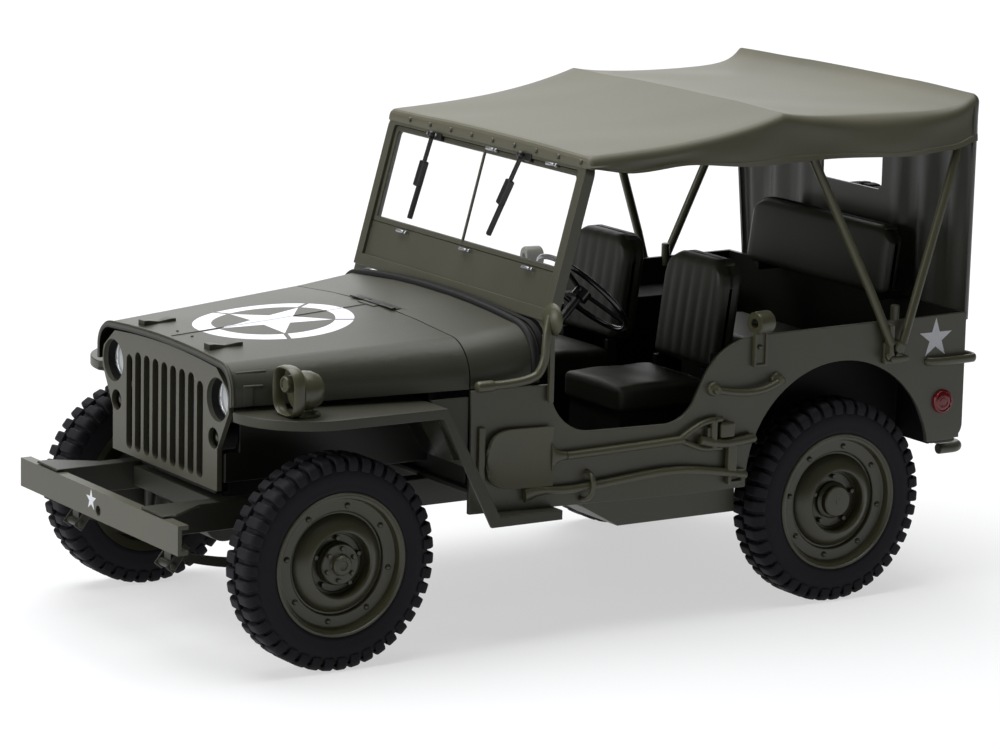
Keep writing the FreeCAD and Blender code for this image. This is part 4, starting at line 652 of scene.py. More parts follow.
# the rim's section: radius, height off the mid-plane, from the back of the lip round the front
RIM = ((13.35, 3.5), (13.6, 3.75), (13.6, 4.1), (13.4, 4.3), (13.1, 4.3), (12.95, 4.1),
    (12.7, 4.02), (12.45, 3.85), (12.3, 3.3), (12.1, 2.75), (11.8, 2.6), (9.95, 2.55), (9.75, 2.4),
    (9.6, 1.95), (9.3, 1.95), (9.1, 2.4), (8.3, 3.25), (7.4, 3.85), (6.8, 4.12), (6.4, 4.16),
    (6.12, 3.95), (6.0, 3.5), (5.95, 1.6), (6.5, 1.2), (8.6, 0.9), (11.4, 0.9), (11.7, -3.3),
    (12.7, -3.7), (13.5, -4.0), (13.4, -3.4), (12.5, -3.0), (12.3, 2.6))
HUB_PLATE = ((6.1, 1.5), (6.1, 1.9), (5.5, 1.95), (5.35, 1.7), (3.9, 1.7))
REAR_CAP = ((3.7, 2.3), (3.35, 2.6), (3.05, 2.7), (3.0, 3.85), (2.8, 4.05), (0.55, 4.1),
    (0.45, 4.25))
FRONT_FLANGE = ((4.1, 1.9), (4.1, 2.5), (3.95, 2.7), (3.9, 3.35), (3.7, 3.6), (2.1, 3.65),
    (1.95, 3.8), (1.9, 4.5), (1.65, 4.8), (0.9, 4.85), (0.8, 4.6), (0.4, 4.55))


def hex_head(radius, height):
    """Bolt head on the XY plane."""
    head = begin("cylinder", (0, 0, height / 2), vertices=6, radius=radius, depth=height)
    return eased(head, radius * 0.18, 1)


def ring_of(piece, count, radius, height, first=0):
    step = 360 / count
    return scattered("ring", piece, [spin(first + step * turn) @ shift(radius, 0, height)
        for turn in range(count)])


def rim(driven):
    """Pressed rim about Z with its riveted ring and hub; driven is the flat rear hub cap."""
    disc = turned(RIM, 72, "joined", 30)
    plate = turned(HUB_PLATE, 40, "last", 30)
    rivets = ring_of(dome(0.55, 0.5, 12), 8, 10.9, 2.5, 12)
    nuts = ring_of(hex_head(0.55, 0.9), 5, 4.75, 1.7, 30)
    pieces = [disc, plate, rivets, nuts]
    if driven:
        pieces.append(turned(REAR_CAP, 36, "last", 30))
    else:
        pieces.append(turned(FRONT_FLANGE, 36, "last", 30))
        pieces.append(ring_of(hex_head(0.5, 0.55), 6, 3.0, 3.6))
    return joined("rim", pieces)


def fit_wheels():
    blank, rims = tyre(), {"front": rim(False), "rear": rim(True)}
    places = [("wheel_" + name, name.split("_")[0], "tyre_" + name, "rim_" + name, AXLE_TURN[side])
        for name, side in WHEELS.items()]
    places.append(("body", "rear", "spare_tyre", "spare_rim", spin(90) @ spin(-90, "X")))
    for body, kind, tyre_node, rim_node, turn in places:
        place = shift(*middle(tyre_node)) @ turn
        fit(copied(blank, place, "treaded_" + tyre_node), rubber, [tyre_node], body)
        fit(copied(rims[kind], place, "pressed_" + rim_node), wheel_paint, [rim_node],
            body)
    for piece in (blank, *rims.values()):
        bpy.data.objects.remove(piece)


fit_wheels()


# ---- soft top
TOP_LOW, TOP_HIGH = span("canopy")
REAR_X, FRONT_X = TOP_LOW.x, TOP_HIGH.x
REAR_BAY = 45.85
BOW_X = REAR_X + REAR_BAY
FRONT_TOP, BOW_TOP, SLACK_TOP, REAR_TOP = 91.6, 97.6, 96.2, 100.2
CLOTH = 0.8
HEM = ((FRONT_X, 89.4), (-2, 88.1), (-12.5, 88.9), (-30, 87.7), (-48, 88.25), (-65, 87.8),
       (-75, 88.5), (REAR_X, 90.2))           # the side hem: place along the car, height
HALF = ((FRONT_X, 37.3), (BOW_X, 38.2), (REAR_X, 41.0))
# rows of the hanging side: share of its height, how far they stand out; the first two are the hem
HEM_STEPS = ((0, 0.2), (0.15, 0.2), (0.18, 0), (0.4, 0), (0.62, 0), (0.82, 0), (1, 0))


def along(stations, x, ease=True):
    """Value between stations (place, value) that run from the front to the rear."""
    for (ahead, first), (behind, last) in zip(stations, stations[1:]):
        if x >= behind or (behind, last) == stations[-1]:
            share = within((ahead - x) / (ahead - behind))
            if ease:
                share = share * share * (3 - 2 * share)
            return first + (last - first) * share
    return stations[-1][1]


def top_height(x):
    """The cloth climbs to the front bow, hangs slack behind it and lifts to the rear bow."""
    if x > BOW_X:
        share = (FRONT_X - x) / (FRONT_X - BOW_X)
        return FRONT_TOP + (BOW_TOP - FRONT_TOP) * (0.35 * share + 0.65 * share ** 3)
    return (SLACK_TOP + (BOW_TOP - SLACK_TOP) * exp((x - BOW_X) / 7) + (REAR_TOP - SLACK_TOP)
        * exp((REAR_X + 0.8 - x) / 3))


def canopy():
    """One moulded sheet: rolled front edge and flap, side hems, and a rolled rear edge."""
    across, corner_steps, hem_steps, roll, roll_steps = 28, 6, 6, 1.5, 4
    columns = 2 * (corner_steps + hem_steps) + across
    rows = 96
    sheet = begin("grid", x_subdivisions=rows, y_subdivisions=columns, size=2)

    def drape(u, v, _):
        """u runs from the rear (-1) to the front (1), v from the right hem to the left."""
        place = (u + 1) / 2 * rows
        step = (v + 1) / 2 * columns
        turn = 0.0
        if place < roll_steps:
            turn, x = (roll_steps - place) / roll_steps, REAR_X + roll
        elif place > rows - roll_steps:
            turn, x = (place - rows + roll_steps) / roll_steps, FRONT_X - roll
        else:
            # one row lies exactly on the front bow
            share = (place - roll_steps) / (rows - 2 * roll_steps)
            x = (REAR_X + roll + share * 2 * (BOW_X - REAR_X - roll) if share < 0.5
                else BOW_X + (share * 2 - 1) * (FRONT_X - roll - BOW_X))
        angle = turn * pi / 2
        sunk = roll * (1 - cos(angle))
        shifted = roll * sin(angle) * (1 if place > rows / 2 else -1)
        side = -1 if step < columns / 2 else 1
        step = min(step, columns - step)
        half = along(HALF, x, False) - sunk
        top, hem = top_height(x) - sunk, along(HEM, x)
        slack = sin(pi * within((x - REAR_X) / REAR_BAY)) ** 2
        radius = 1.8 + 1.6 * slack - min(sunk, 1.4)
        if step <= hem_steps:
            share, proud = HEM_STEPS[round(step)]
            y, z = half + proud * (1 - turn), hem + (top - radius - hem) * share
            y += 0.35 * sin(pi * share) * sin(x / 5.5) * (1 - turn)
        elif step <= hem_steps + corner_steps:
            around = (step - hem_steps) / corner_steps * pi / 2
            y = half - radius * (1 - cos(around))
            z = top - radius * (1 - sin(around))
        else:
            share = (step - hem_steps - corner_steps) / (across / 2)
            y = (half - radius) * (1 - share)
            crown = 1 - (y / (half - radius)) ** 2
            fold = sin(x / 6.3 + y / 11 * side) * sin(pi * min(share * 1.6, 1))
            z = top + 0.45 * crown + 0.16 * fold * (1 - turn)
        return x + shifted, y * side, z

    reshape(sheet, drape)
    with editing(sheet):
        choose(sheet, "EDGE", lambda edge: is_open(edge)
            and all(abs(point.co.x / MM - FRONT_X) < 0.01 for point in edge.verts))
        bpy.ops.mesh.edge_face_add()
    tidy(sheet)
    modified(sheet, "SOLIDIFY", thickness=CLOTH * MM, offset=-1)
    smooth(sheet, 21)
    return fit(joined("canopy_cloth", [sheet]), soft_top, ["canopy"], even=False)


def flap_snaps():
    """Row of snaps along the front flap."""
    snap = moved(dome(0.5, 0.4), spin(90, "Y"))
    places = [shift(FRONT_X, index * 7.8 - 28, 90.4) for index in range(9)]
    fit(scattered("flap_snaps", snap, places), paint)


def curtain():
    """Rear curtain with soft upright folds, a window, and its sides wrapped round."""
    low, high = span("rear_curtain")
    window_low, window_high, window_half = 75.8, 84.4, 10.3
    top, rear, foot, wide, bend, plain = 97.0, low.x, low.z - 2.2, 41.5, 1.2, 12
    sheet = begin("grid", x_subdivisions=1, y_subdivisions=1, size=2)
    moved(sheet, shift(rear, 0, (top + foot) / 2, 90, "Y")
        @ Matrix.Diagonal(((top - foot) / 2, wide, 1, 1)))
    with editing(sheet):
        for side in (-1, 1):
            for place, way in (((0, side * window_half, 0), (0, 1, 0)),
                    ((0, 0, window_low if side < 0 else window_high), (0, 0, 1))):
                cut_at(Vector(place) * MM, way)

        def in_window(item):
            centre = item.calc_center_median() / MM
            return abs(centre.y) < window_half and window_low < centre.z < window_high

        choose(sheet, "FACE", in_window)
        bpy.ops.mesh.delete(type="FACE")
        choose(sheet, "VERT", lambda point: abs(abs(point.co.y / MM) - window_half) < 0.01
            and min(abs(point.co.z / MM - edge) for edge in (window_low, window_high)) < 0.01)
        bpy.ops.mesh.bevel(offset=1.3 * MM, segments=5, affect="VERTICES")
        for column in range(46):
            y = 11.7 + column * 0.7
            for side in (-1, 1):
                cut_at((0, side * y * MM, 0), (0, 1, 0))
        for z in (56, 59, 63, 67, 71, 88, 92):
            cut_at((0, 0, z * MM), (0, 0, 1))

    def hang(x, y, z):
        side = copysign(1, y)
        rise = within((z - foot) / (90 - foot))
        half = 40.2 + rise * 0.4 if side > 0 else 35.8 + rise * 4.6
        lower = within((88 - z) / 10)
        past_window = max(abs(y) - plain, 0) / (wide - plain)
        reach = abs(y) if not past_window else plain + past_window * (half + 0.9 - plain)
        beside = within((reach - 12.5) / 5)
        fold = 0.55 * sin((reach - 13) / 1.55) * beside * (0.45 + 0.55 * lower)
        fold *= within((half - 1 - reach) / 3)
        wrap = max(reach - half + bend, 0)
        if wrap > 0:
            angle = min(wrap / bend, pi / 2)
            past = max(wrap - bend * pi / 2, 0)
            return (rear + 0.45 + bend * (1 - cos(angle)) + past,
                side * (half - bend + bend * sin(angle)), z)
        return rear + 0.45 + max(fold, -0.35), side * reach, z

    reshape(sheet, hang)
    tidy(sheet)
    modified(sheet, "SOLIDIFY", thickness=0.6 * MM, offset=0)
    smooth(sheet, 50)
    return fit(joined("curtain_cloth", [sheet]), curtain_vinyl, ["rear_curtain"],
        even=False)


canopy()
flap_snaps()
curtain()


# ---- seats
SEAT_LEAN = tan(radians(8))
CUSHION_LONG, BACK_THICK = 20.5, 6.2


def cushion(low, high, corner, cuts=23):
    """Block with softly rounded corners, ready to be crowned."""
    low, high = Vector(low), Vector(high)
    piece = block(low, high)
    with editing(piece):
        bpy.ops.mesh.subdivide(number_cuts=cuts)
    centre, half = (low + high) / 2, (high - low) / 2

    def round_off(*place):
        offset = Vector(place) - centre
        core = Vector([min(max(part, corner - size), size - corner)
            for part, size in zip(offset, half)])
        out = offset - core
        if out.length:
            out = out.normalized() * corner
        return centre + core + out

    return reshape(piece, round_off)


def swell(share):
    """Pillow profile: 1 in the middle, 0 at either edge."""
    return max(1 - share * share, 0) ** 0.6


def upholster(name, cushions, node):
    for piece in cushions:
        smooth(piece, 60)
    fit(joined(name, cushions), seat_vinyl, [node], even=False)


def front_seat(node):
    """Seat cushion and channelled back of one front seat."""
    low, high = span(node)
    centre_y, half_y = (low.y + high.y) / 2, (high.y - low.y) / 2
    seat_front = high.x
    seat_rear = seat_front - CUSHION_LONG
    seat_top, back_foot = low.z + 4.3, low.z + 6.9
    base = cushion((seat_rear, low.y, low.z), (seat_front, high.y, seat_top), 1.1)

    def crown(x, y, z):
        share_x = (x - (seat_front + seat_rear) / 2) / (CUSHION_LONG / 2)
        share_y = (y - centre_y) / half_y
        lift = 0.75 * swell(share_x) * swell(share_y) - 0.75
        if z > low.z + 2:
            z += lift + 1.5 + 0.12 * sin(x / 1.9 + y / 3.1) * swell(share_x)
        return x, y, z

    reshape(base, crown)
    back = cushion((seat_rear - BACK_THICK, low.y, back_foot), (seat_rear, high.y, high.z), 1.5,
        39)
    channels = 6

    def channel(x, y, z):
        share_y, share_z = (y - centre_y) / half_y, (z - back_foot) / (high.z - back_foot) * 2 - 1
        if share_z > 0.55 and abs(share_y) > 0.55:
            pull = (share_z - 0.55) / 0.45 * (abs(share_y) - 0.55) / 0.45
            z -= 2.6 * pull * pull
            y -= copysign(1.0, share_y) * pull
        if x > seat_rear - BACK_THICK / 2:
            groove = abs(sin(pi * channels / 2 * (share_y + 1)))
            x += 0.5 * swell(share_y) * swell(share_z) - 0.5
            x -= 0.24 * (1 - groove) * swell(share_z * 0.98) * (abs(share_y) < 0.9)
        else:
            x -= 0.3 * swell(share_y) * swell(share_z) - 0.3
        return x - SEAT_LEAN * (z - back_foot), y, z

    reshape(back, channel)
    # the fold of the cover over the top of the back
    top_x = seat_rear - BACK_THICK / 2 - SEAT_LEAN * (high.z - back_foot)
    roll = cushion((top_x - 2.1, low.y + 2.2, high.z - 2.3),
        (top_x + 1.3, high.y - 2.2, high.z - 0.15), 0.8, 15)
    reshape(roll, lambda x, y, z: (x, y, z - 0.25 * (1 + sin(y / 1.7 + x))))
    upholster(node.replace("_seat", "_cushions"), [base, back, roll], node)


def bench():
    """Rear bench: flat cushion and a padded back with rounded upper corners."""
    low, high = span("rear_seat")
    foot, rear = high.z - 13.6, high.x - 18
    base = cushion((rear, low.y, low.z), (high.x, high.y, low.z + 4.3), 1.1)
    back = cushion((rear - 4.6, low.y, foot), (rear, high.y, high.z), 1.4, 31)

    def plump(x, y, z):
        share_y, share_z = y / high.y, (z - foot) / 6.8 - 1
        if share_z > 0 and abs(share_y) > 0.8:
            pull = share_z * (abs(share_y) - 0.8) / 0.2
            z -= 3.0 * pull * pull
        way = 0.6 if x > rear - 2.3 else -0.3
        x += way * (swell(share_y) * swell(share_z) - 1)
        return x - SEAT_LEAN * (z - foot), y, z

    reshape(back, plump)
    edge = cushion((rear - 4.4, low.y + 2.6, high.z - 1.7),
        (rear - 1.1, high.y - 2.6, high.z - 0.05), 0.6, 11)
    reshape(edge, lambda x, y, z: (x - SEAT_LEAN * (z - foot), y, z))
    upholster("bench_cushions", [base, back, edge], "rear_seat")


front_seat("driver_seat")
front_seat("passenger_seat")
bench()


# ---- hood
def over_car(x, feet, half, corner, shoulder, top, crown, across):
    """Line over the car at x: up from its feet, round a corner above the shoulder's height,
    over the crowned top, and down the other side."""
    line = [(x, y, z) for y, z in feet]
    for step in range(1, 6):
        angle = radians(18 * step)
        line.append((x, half + corner[0] * cos(angle), shoulder + corner[1] * sin(angle)))
    line += [(x, y, top - crown * (y / half) ** 2) for y in across]
    return line + [(x, -y, z) for x, y, z in reversed(line)]


def hood():
    """Hood with its front bead, centre seam, rivets, pinched blocks and side catches."""
    low, high = span("hood")
    nose, rear = high.x, low.x + 0.65
    slope = 2.9 / (nose - rear)

    def crest(x):
        return 56.8 + (nose - x) * slope

    skin = shell_of("hood", "pressed_hood")
    with editing(skin):
        for side in SIDES:
            def on_block(item):
                return all(abs(point.co.y / MM * side - 13) < 1.3 and point.co.z / MM > 56
                    and 69.5 < point.co.x / MM < 76.4 for point in item.verts)

            choose(skin, "FACE", on_block)
            bpy.ops.mesh.delete(type="FACE")
            choose(skin, "EDGE", lambda edge: is_open(edge) and on_block(edge))
            bpy.ops.mesh.edge_face_add()
    reshape(skin, lambda x, y, z: (x, y, min(z, crest(x) + (z - crest(x)) * 0.35)
        if x < low.x + 2.2 else z))
    pieces = [eased(skin, 0.2)]
    bead = over_car(nose - 0.5, ((26.95, 48.6), (26.95, 49.8)), 21.9, (5.0, 5.05), 50.9, 56.85,
        0.9, (18, 13, 8, 3))
    pieces.append(tube(bead, 0.34, 3))
    wedge = block((-3.5, -1.2, -0.9), (3.5, 1.2, 0.9))
    with editing(wedge):
        for cut in (-2.4, -1.1, 0, 1.1, 2.4):
            cut_at((cut * MM, 0, 0), (1, 0, 0))

    def pinch(x, y, z):
        """Low and narrow in the middle of the top, full at both ends."""
        wide = min(abs(x) / 2.4, 1)
        return (x, y * (0.45 + 0.5 * wide), z * (0.5 + 0.5 * wide)) if z > 0 else (x, y, z)

    eased(reshape(wedge, pinch), 0.12, 2)
    pieces.append(scattered("hood_blocks", wedge,
        [shift(72.9, side * 13.2, crest(72.9) - 0.4, side * -2) for side in SIDES]))
    pieces.append(scattered("hood_rivets", dome(0.3, 0.2, 8),
        [shift(74.0, side * 2.9, crest(74.0) - 0.02) for side in SIDES]))
    catch = joined("hood_catch", [bar((-2.9, -1.5, 54.5), (2.9, -1.5, 54.3), 0.34, 10),
        bar((-1.9, 0.1, 52.1), (1.9, 0.1, 52.1), 0.3, 10), chip((0, -0.2, 48.4), (1.8, 0.32, 52.1),
        0.12)])
    moved(catch, shift(74.6, 27.65, 0, -11.3))
    pieces.append(both_sides(catch))
    seam = block((rear + 0.6, -0.16, 0), (nose - 1.9, 0.16, 0.32))
    pieces.append(eased(reshape(seam, lambda x, y, z: (x, y, z + crest(x) - 0.2)), 0.05, 1))
    fit(joined("pressed_hood", pieces), hood_paint, ["hood"], body="hood")


# ---- pressed panels
PANELS = (                      # nodes, look, width of their rounded edges
    ("body_side_left body_side_right", side_paint, 0.16),
    ("front_bumper", bumper_paint, 0.3),
    ("rear_guards windscreen_frame", paint, 0.22),
    ("rear_panel", rear_paint, 0.22),
    ("top_bows", fitting_paint, 0.2),
    # the inside of the tub is near black as painted shade
    ("floor dashboard firewall seat_frames", interior_shade_paint, 0.2),
    ("frame_rails frame_crossmembers leaf_springs shock_absorbers front_axle rear_axle exhaust "
     "gearbox propeller_shafts", underbody, 0.25),
    # the wheel houses are near black as painted shade in the arches
    ("engine radiator wheel_houses", dark, 0.3))


def panels():
    """Pressed and cast parts keep their own shape, with rounded edges."""
    for nodes, look, width in PANELS:
        for node in nodes.split():
            fit(softened(node, "eased_" + node, width), look, [node])


def cowl():
    """Cowl with its low hinge leaves, and the thick seal under the windscreen's foot."""
    piece = shell_of("cowl", "pressed_cowl")
    reshape(piece, lambda x, y, z: (x, y, 59.75 + (z - 59.75) * 0.35 if x > 31 and z > 59.75
        else z))
    fit(eased(piece, 0.22), cowl_paint, ["cowl"])
    line = over_car(19.0, ((36.3, 50.6), (36.4, 52)), 29.35, (7.1, 7.1), 52.8, 61.5, 1.5,
        (23, 17, 11, 5))
    fit(joined("cowl_seal", [tube(line, 0.8, 4)]), seal_rubber)


def sump():
    """Fuel tank's sump, as deep and long as it hangs below the sill."""
    piece = shell_of("tank_sump", "deep_sump")
    reshape(piece, lambda x, y, z: (-10 + (x + 10) * 1.3 if x < -10 else x, y,
        29.3 - (29.3 - z) * 1.125))
    fit(eased(piece, 0.22), paint, ["tank_sump"])


def grille():
    """Slotted grille, its upper corners cut back under the hood's lip."""
    piece = shell_of("grille", "slotted_grille")
    high = span("grille")[1]
    with editing(piece):
        for side in SIDES:
            cut_at(Vector((0, side * (high.y - 5.6), high.z - 0.6)) * MM, (0, side * 0.6, 0.8),
                clear_outer=True, use_fill=True)
    fit(eased(piece, 0.22), paint, ["grille"])


def wings():
    """Front wings, with the plate that closes each to the cowl's side."""
    for name, side in (("left", LEFT), ("right", RIGHT)):
        wing = softened("front_wing_" + name, "pressed_wing_" + name)
        plate = block((33.35, 35.5, 36), (41.5, 36.2, 47.9))
        reshape(plate, lambda x, y, z: (x if z > 40 else min(x, 36.5), side * y, z))
        tidy(plate)
        fit(joined("pressed_wing_" + name, [wing, eased(plate, 0.15)]), wing_paint,
            ["front_wing_" + name])


# ---- lamps
def grille_lamps():
    """Head and marker lamps: deep cup, bright ring, reflector and lens behind the grille."""
    front = span("headlamps")[1].x
    for name, y, z, radius, sunk, lens_look in (("head", 20.9, 48.7, 4.1, 1.9, lens_glass),
            ("marker", 19.5, 41.2, 2.0, 1.2, marker_glass)):
        cup = turned([(0.4, -2.95), (radius + 0.36, -2.95), (radius + 0.36, -0.05),
            (radius, -0.05), (radius, -2.6), (0.4, -2.7)], 40, "joined")
        bowl = ((0, 0.1, -1.0), (0.7, 0, -0.85), (0.98, 0, -0.5), (1, 0, 0), (0.95, 0, -0.3),
            (0.7, 0, -0.55), (0.3, 0, -0.68), (0, 0.1, -0.7))
        cover = ((1, -0.1, 0), (0.93, 0, 0.45), (0.78, 0, 0.9), (0.55, 0, 1.3), (0.28, 0, 1.52),
            (0, 0.1, 1.58))
        mirror, lens = [turned([(radius * share + more, high - sunk)
            for share, more, high in rings], 40, ends)
            for rings, ends in ((bowl, "both"), (cover, "last"))]
        ring = begin("torus", (0, 0, -sunk), major_radius=radius - 0.18, minor_radius=0.24,
            major_segments=40, minor_segments=8)
        places = [shift(front, side * y, z, 90, "Y") for side in SIDES]
        # every lamp cup, and the marker lamps' ring and reflector, are near black as painted shade
        # in the holes
        ring_look = chrome if name == "head" else dark
        mirror_look = reflector if name == "head" else dark
        for part, piece, look in (("_cups", cup, dark), ("_reflectors", mirror, mirror_look),
                ("_rings", ring, ring_look), ("_lenses", lens, lens_look)):
            fit(scattered(name + part, smooth(piece, 50), places), look, ["headlamps"]
                if name + part == "head_cups" else ())


def blackout_lamp():
    """Round lamp with a short neck on the left wing, behind its flat-band guard."""
    low, high = span("blackout_lamp")
    x, y, z = high.x - 4.3, (low.y + high.y) / 2, low.z + 4.7
    ball = turned([(0.4, -3.3), (1.8, -3.05), (2.9, -2.3), (3.5, -1.1), (3.68, 0.2), (3.6, 1.2),
        (3.62, 1.25), (3.62, 1.9), (3.35, 2.1), (2.4, 2.3), (0.3, 2.35)], 36, "both", 40,
        shift(x, y, z, 90, "Y"))
    neck = turned([(1.6, 0), (1.6, 3.9), (1.4, 4.2), (1.1, 4.2), (1.0, 3.9), (0.2, 3.8)], 20,
        "last", 40, shift(x + 0.4, y, z + 1.5, 90, "Y"))
    foot = turned([(2.5, 0), (2.5, 0.45), (2.2, 0.7), (1.1, 0.9), (0.95, 1.6), (0.95, 2.6)], 24,
        "", 40, shift(x - 0.3, y, low.z))
    guard = begin("torus", major_radius=1, minor_radius=0.1, major_segments=48, minor_segments=8)

    def band(across, up, deep):
        """Flat band round an upright oval."""
        far = hypot(across, up)
        proud = (far - 1) * 4
        square = (abs(across / far) ** 3 + abs(up / far) ** 3) ** (-1 / 3)
        return across / far * (4.0 * square + proud), up / far * (4.35 * square + proud), deep * 12

    moved(smooth(reshape(guard, band), 50), shift(high.x - 1.2, y - 0.7, low.z + 4.7, 90, "X")
        @ spin(90, "Y"))
    fit(joined("round_lamp", [ball, neck, foot, guard]), fitting_paint, ["blackout_lamp"])


# ---- windscreen
def windscreen():
    """Seal, wipers, clips and rivets, made in the screen's own plane: x out, z up the slope."""
    slope = shift(*middle("windscreen_glass"), -15.5, "Y")
    fit(softened("screen_seal", "screen_rubber", 0.35), seal_rubber, ["screen_seal"])
    wipers, motors = [], []
    for y, z, lean in ((-18.4, 9.65, 4.6), (14.4, 10.05, 17.5)):
        arm = chip((0, -0.42, -9), (0.65, 0.42, 0.6), 0.15)
        carrier = chip((-0.3, -0.75, -10.7), (1.1, 1.0, -5.4), 0.3)
        blade = chip((-0.6, -0.45, -17.3), (0.3, 0.45, -9), 0.12, 1)
        pivot = moved(dome(0.8, 0.8, 14), shift(0.5, 0, 0, 90, "Y"))
        wiper = joined("wiper", [arm, carrier, blade, pivot])
        wipers.append(moved(wiper, slope @ shift(1.25, y, z, -lean, "X")))
        motor = chip((-1.0, 0.8, -0.9), (0.8, 3.0, 0.7), 0.25)
        motors.append(moved(motor, slope @ shift(0.7, y, z)))
    fit(joined("wiper_set", wipers + motors), fitting_dark, ["wipers"])
    strips = [chip((-0.6, -35.2, low), (-0.1, 35.2, high), 0.1, 1)
        for low, high in ((8.75, 10.6), (-10.9, -8.75))]
    fit(moved(joined("screen_gasket", strips), slope), seal_rubber)
    clip = joined("screen_clip", [bar((0, -1.7, 0), (0, 1.0, 0), 0.36, 12),
        bar((0, 1.5, 0), (0, 2.1, 0), 0.4, 12)])
    places = [slope @ shift(1.2, y, z) for y, z in ((-19.2, 9.75), (2.9, 9.75), (24.4, 9.75),
        (-21.5, -10.5), (2.3, -10.5), (25.0, -10.5))]
    fit(scattered("screen_clips", clip, places), bright_steel)
    places = [slope @ shift(0.62, y, -18.6, 90, "Y") for y in (-29.4, -26.4, -9, 0, 9, 26.4, 29.4)]
    fit(scattered("screen_rivets", dome(0.3, 0.25, 8), places), paint)


def side_mirror():
    """Bent arm from a boss on the cowl side, its post, and a round head."""
    low, high = span("side_mirror")
    rear, side, foot, head_z = low.x + 1.9, high.y - 1.95, low.z + 2.7, high.z - 2.4
    arm = tube([(rear + 12, side - 0.8, foot), (rear + 3.2, side + 0.1, foot + 0.1),
        (rear + 0.9, side + 0.3, foot + 3.5), (rear + 0.7, side + 0.4, foot + 7.5),
        (rear + 0.3, side + 0.1, head_z - 2), (rear - 0.6, side - 0.4, head_z)], 0.85)
    boss = bar((rear + 15.3, side - 0.8, foot), (rear + 11.2, side - 0.75, foot), 1.1, 20, 0.7)
    post = chip((rear - 1.4, side - 0.55, low.z - 1.5), (rear - 0.3, side + 0.25, head_z - 1),
        0.15)
    head = turned([(0.3, -1.15), (1.9, -0.95), (2.9, -0.3), (3.15, 0.25), (3.0, 0.5), (2.8, 0.35)],
        32, "both", 40, shift(rear - 1.0, side - 0.45, head_z - 0.7, -90, "Y"))
    fit(joined("mirror_and_arm", [arm, boss, post, head]), fitting_paint, ["side_mirror"])
    face = turned([(2.8, 0), (2.8, 0.08), (0.2, 0.1)], 32, "last")
    moved(face, shift(rear - 1.38, side - 0.45, head_z - 0.7, -90, "Y"))
    fit(joined("mirror_face", [face]), chrome)


# ---- tools on the side
def skin_y(x):
    """Half width of the tub at a place along the car."""
    return 36.8 + (33.2 - x) * 4.2 / 47.55 if x > -14.35 else TUB_HALF


def hugging(piece):
    """Lay a piece, made with y as its height over the tub's side, onto that side."""
    return reshape(piece, lambda x, y, z: (x, y + skin_y(x), z))


def shovel():
    """Shovel with a dished blade, a flared neck, and a forked grip."""
    blade = begin("grid", x_subdivisions=24, y_subdivisions=14, size=2)

    def dish(u, v, _):
        share = 1 - (1 - (u + 1) / 2) ** 1.5
        x = 16.4 + 13.8 * share
        curve = max(x - 23.5, 0) / 6.72
        half = 5.75 * max(1 - curve ** 3.2, 0.02) ** (1 / 3.2)
        return x, 0.6 + 0.5 * v * v + 0.3 * share, 35.6 + 0.15 * share + v * half

    modified(reshape(blade, dish), "SOLIDIFY", thickness=0.5 * MM, offset=0)
    flare = turned([(0.75, 0), (0.8, 1.2), (0.95, 2.2), (1.25, 3.0), (1.7, 3.6), (2.3, 4.05),
        (3.1, 4.3)], 28, "both")
    reshape(flare, lambda x, y, z: (x, y * (0.95 - 0.8 * (z / 4.3) ** 2), z))
    moved(flare, shift(12.3, 0.85, 35.4, 90, "Y"))
    pieces = [smooth(blade, 40), smooth(flare, 50),
        tube([(13.5, 1.1, 35.4), (1, 1.1, 35.8), (-11.6, 1.1, 36.5)], 0.8)]
    for way in (1, -1):
        pieces.append(tube([(-10.8, 1.1, 36.5), (-13.9, 1.1, 36.8 + way * 1.7),
            (-16.8, 1.1, 36.9 + way * 2.8), (-20.4, 1.1, 37.0 + way * 2.8)], 0.58))
    pieces.append(bar((-18.6, 1.1, 34.2), (-18.6, 1.1, 39.8), 0.75, 16, 0.2))
    pieces.append(chip((-23.3, 0.3, 36.0), (-19.9, 1.8, 39.1), 0.5, 3))
    return hugging(joined("shovel", pieces))


def axe():
    """Axe with a curved haft, its head's neck, its edge in a cover, and the straps."""
    haft = tube([(22.2, 0.9, 28.7), (18.8, 0.95, 29.3), (14, 1.0, 28.6), (4, 1.1, 29.5),
        (-7, 1.1, 30.7), (-16, 1.1, 30.4), (-26.4, 1.1, 28.2)], 0.82)
    # its end spreads forward of x = 18
    reshape(haft, lambda x, y, z: (x, y, 29.0 + (z - 29.0) * (1 + max(x - 18, 0) * 0.22)))
    neck = chip((-23.9, 0.35, 28.5), (-21.8, 1.75, 35.2), 0.3)
    edge = tube([(-15.4, 1.1, 36.1), (-19, 1.1, 35.0), (-24, 1.1, 34.8), (-28.2, 1.1, 35.4)], 0.95)
    buckle = recessed(block((-25.9, 0.3, 26.6), (-22.2, 1.5, 29.6)), 0.7, 0.8)
    clamp = tube([(8.4, 0, 31.7), (8.4, 2.2, 31.5), (8.2, 2.2, 28.2), (9.4, 1.9, 26.6),
        (9.6, 0, 26.5)], 0.5)
    # straps of the blade, of the axe's cover and of its neck
    straps = [chip(low, high, 0.22) for low, high in (((30.4, 0.0, 31.2), (31.8, 0.8, 42.1)),
        ((-22.6, 0.1, 36.0), (-20.4, 1.2, 38.2)), ((-18.3, 0.1, 35.6), (-17.1, 1.2, 38.4)))]
    return hugging(joined("axe", [haft, neck, edge, eased(buckle, 0.12, 1), clamp] + straps))


def side_tools():
    fit(joined("shovel_and_axe", [shovel(), axe()]), tool_paint, ["side_tools"])


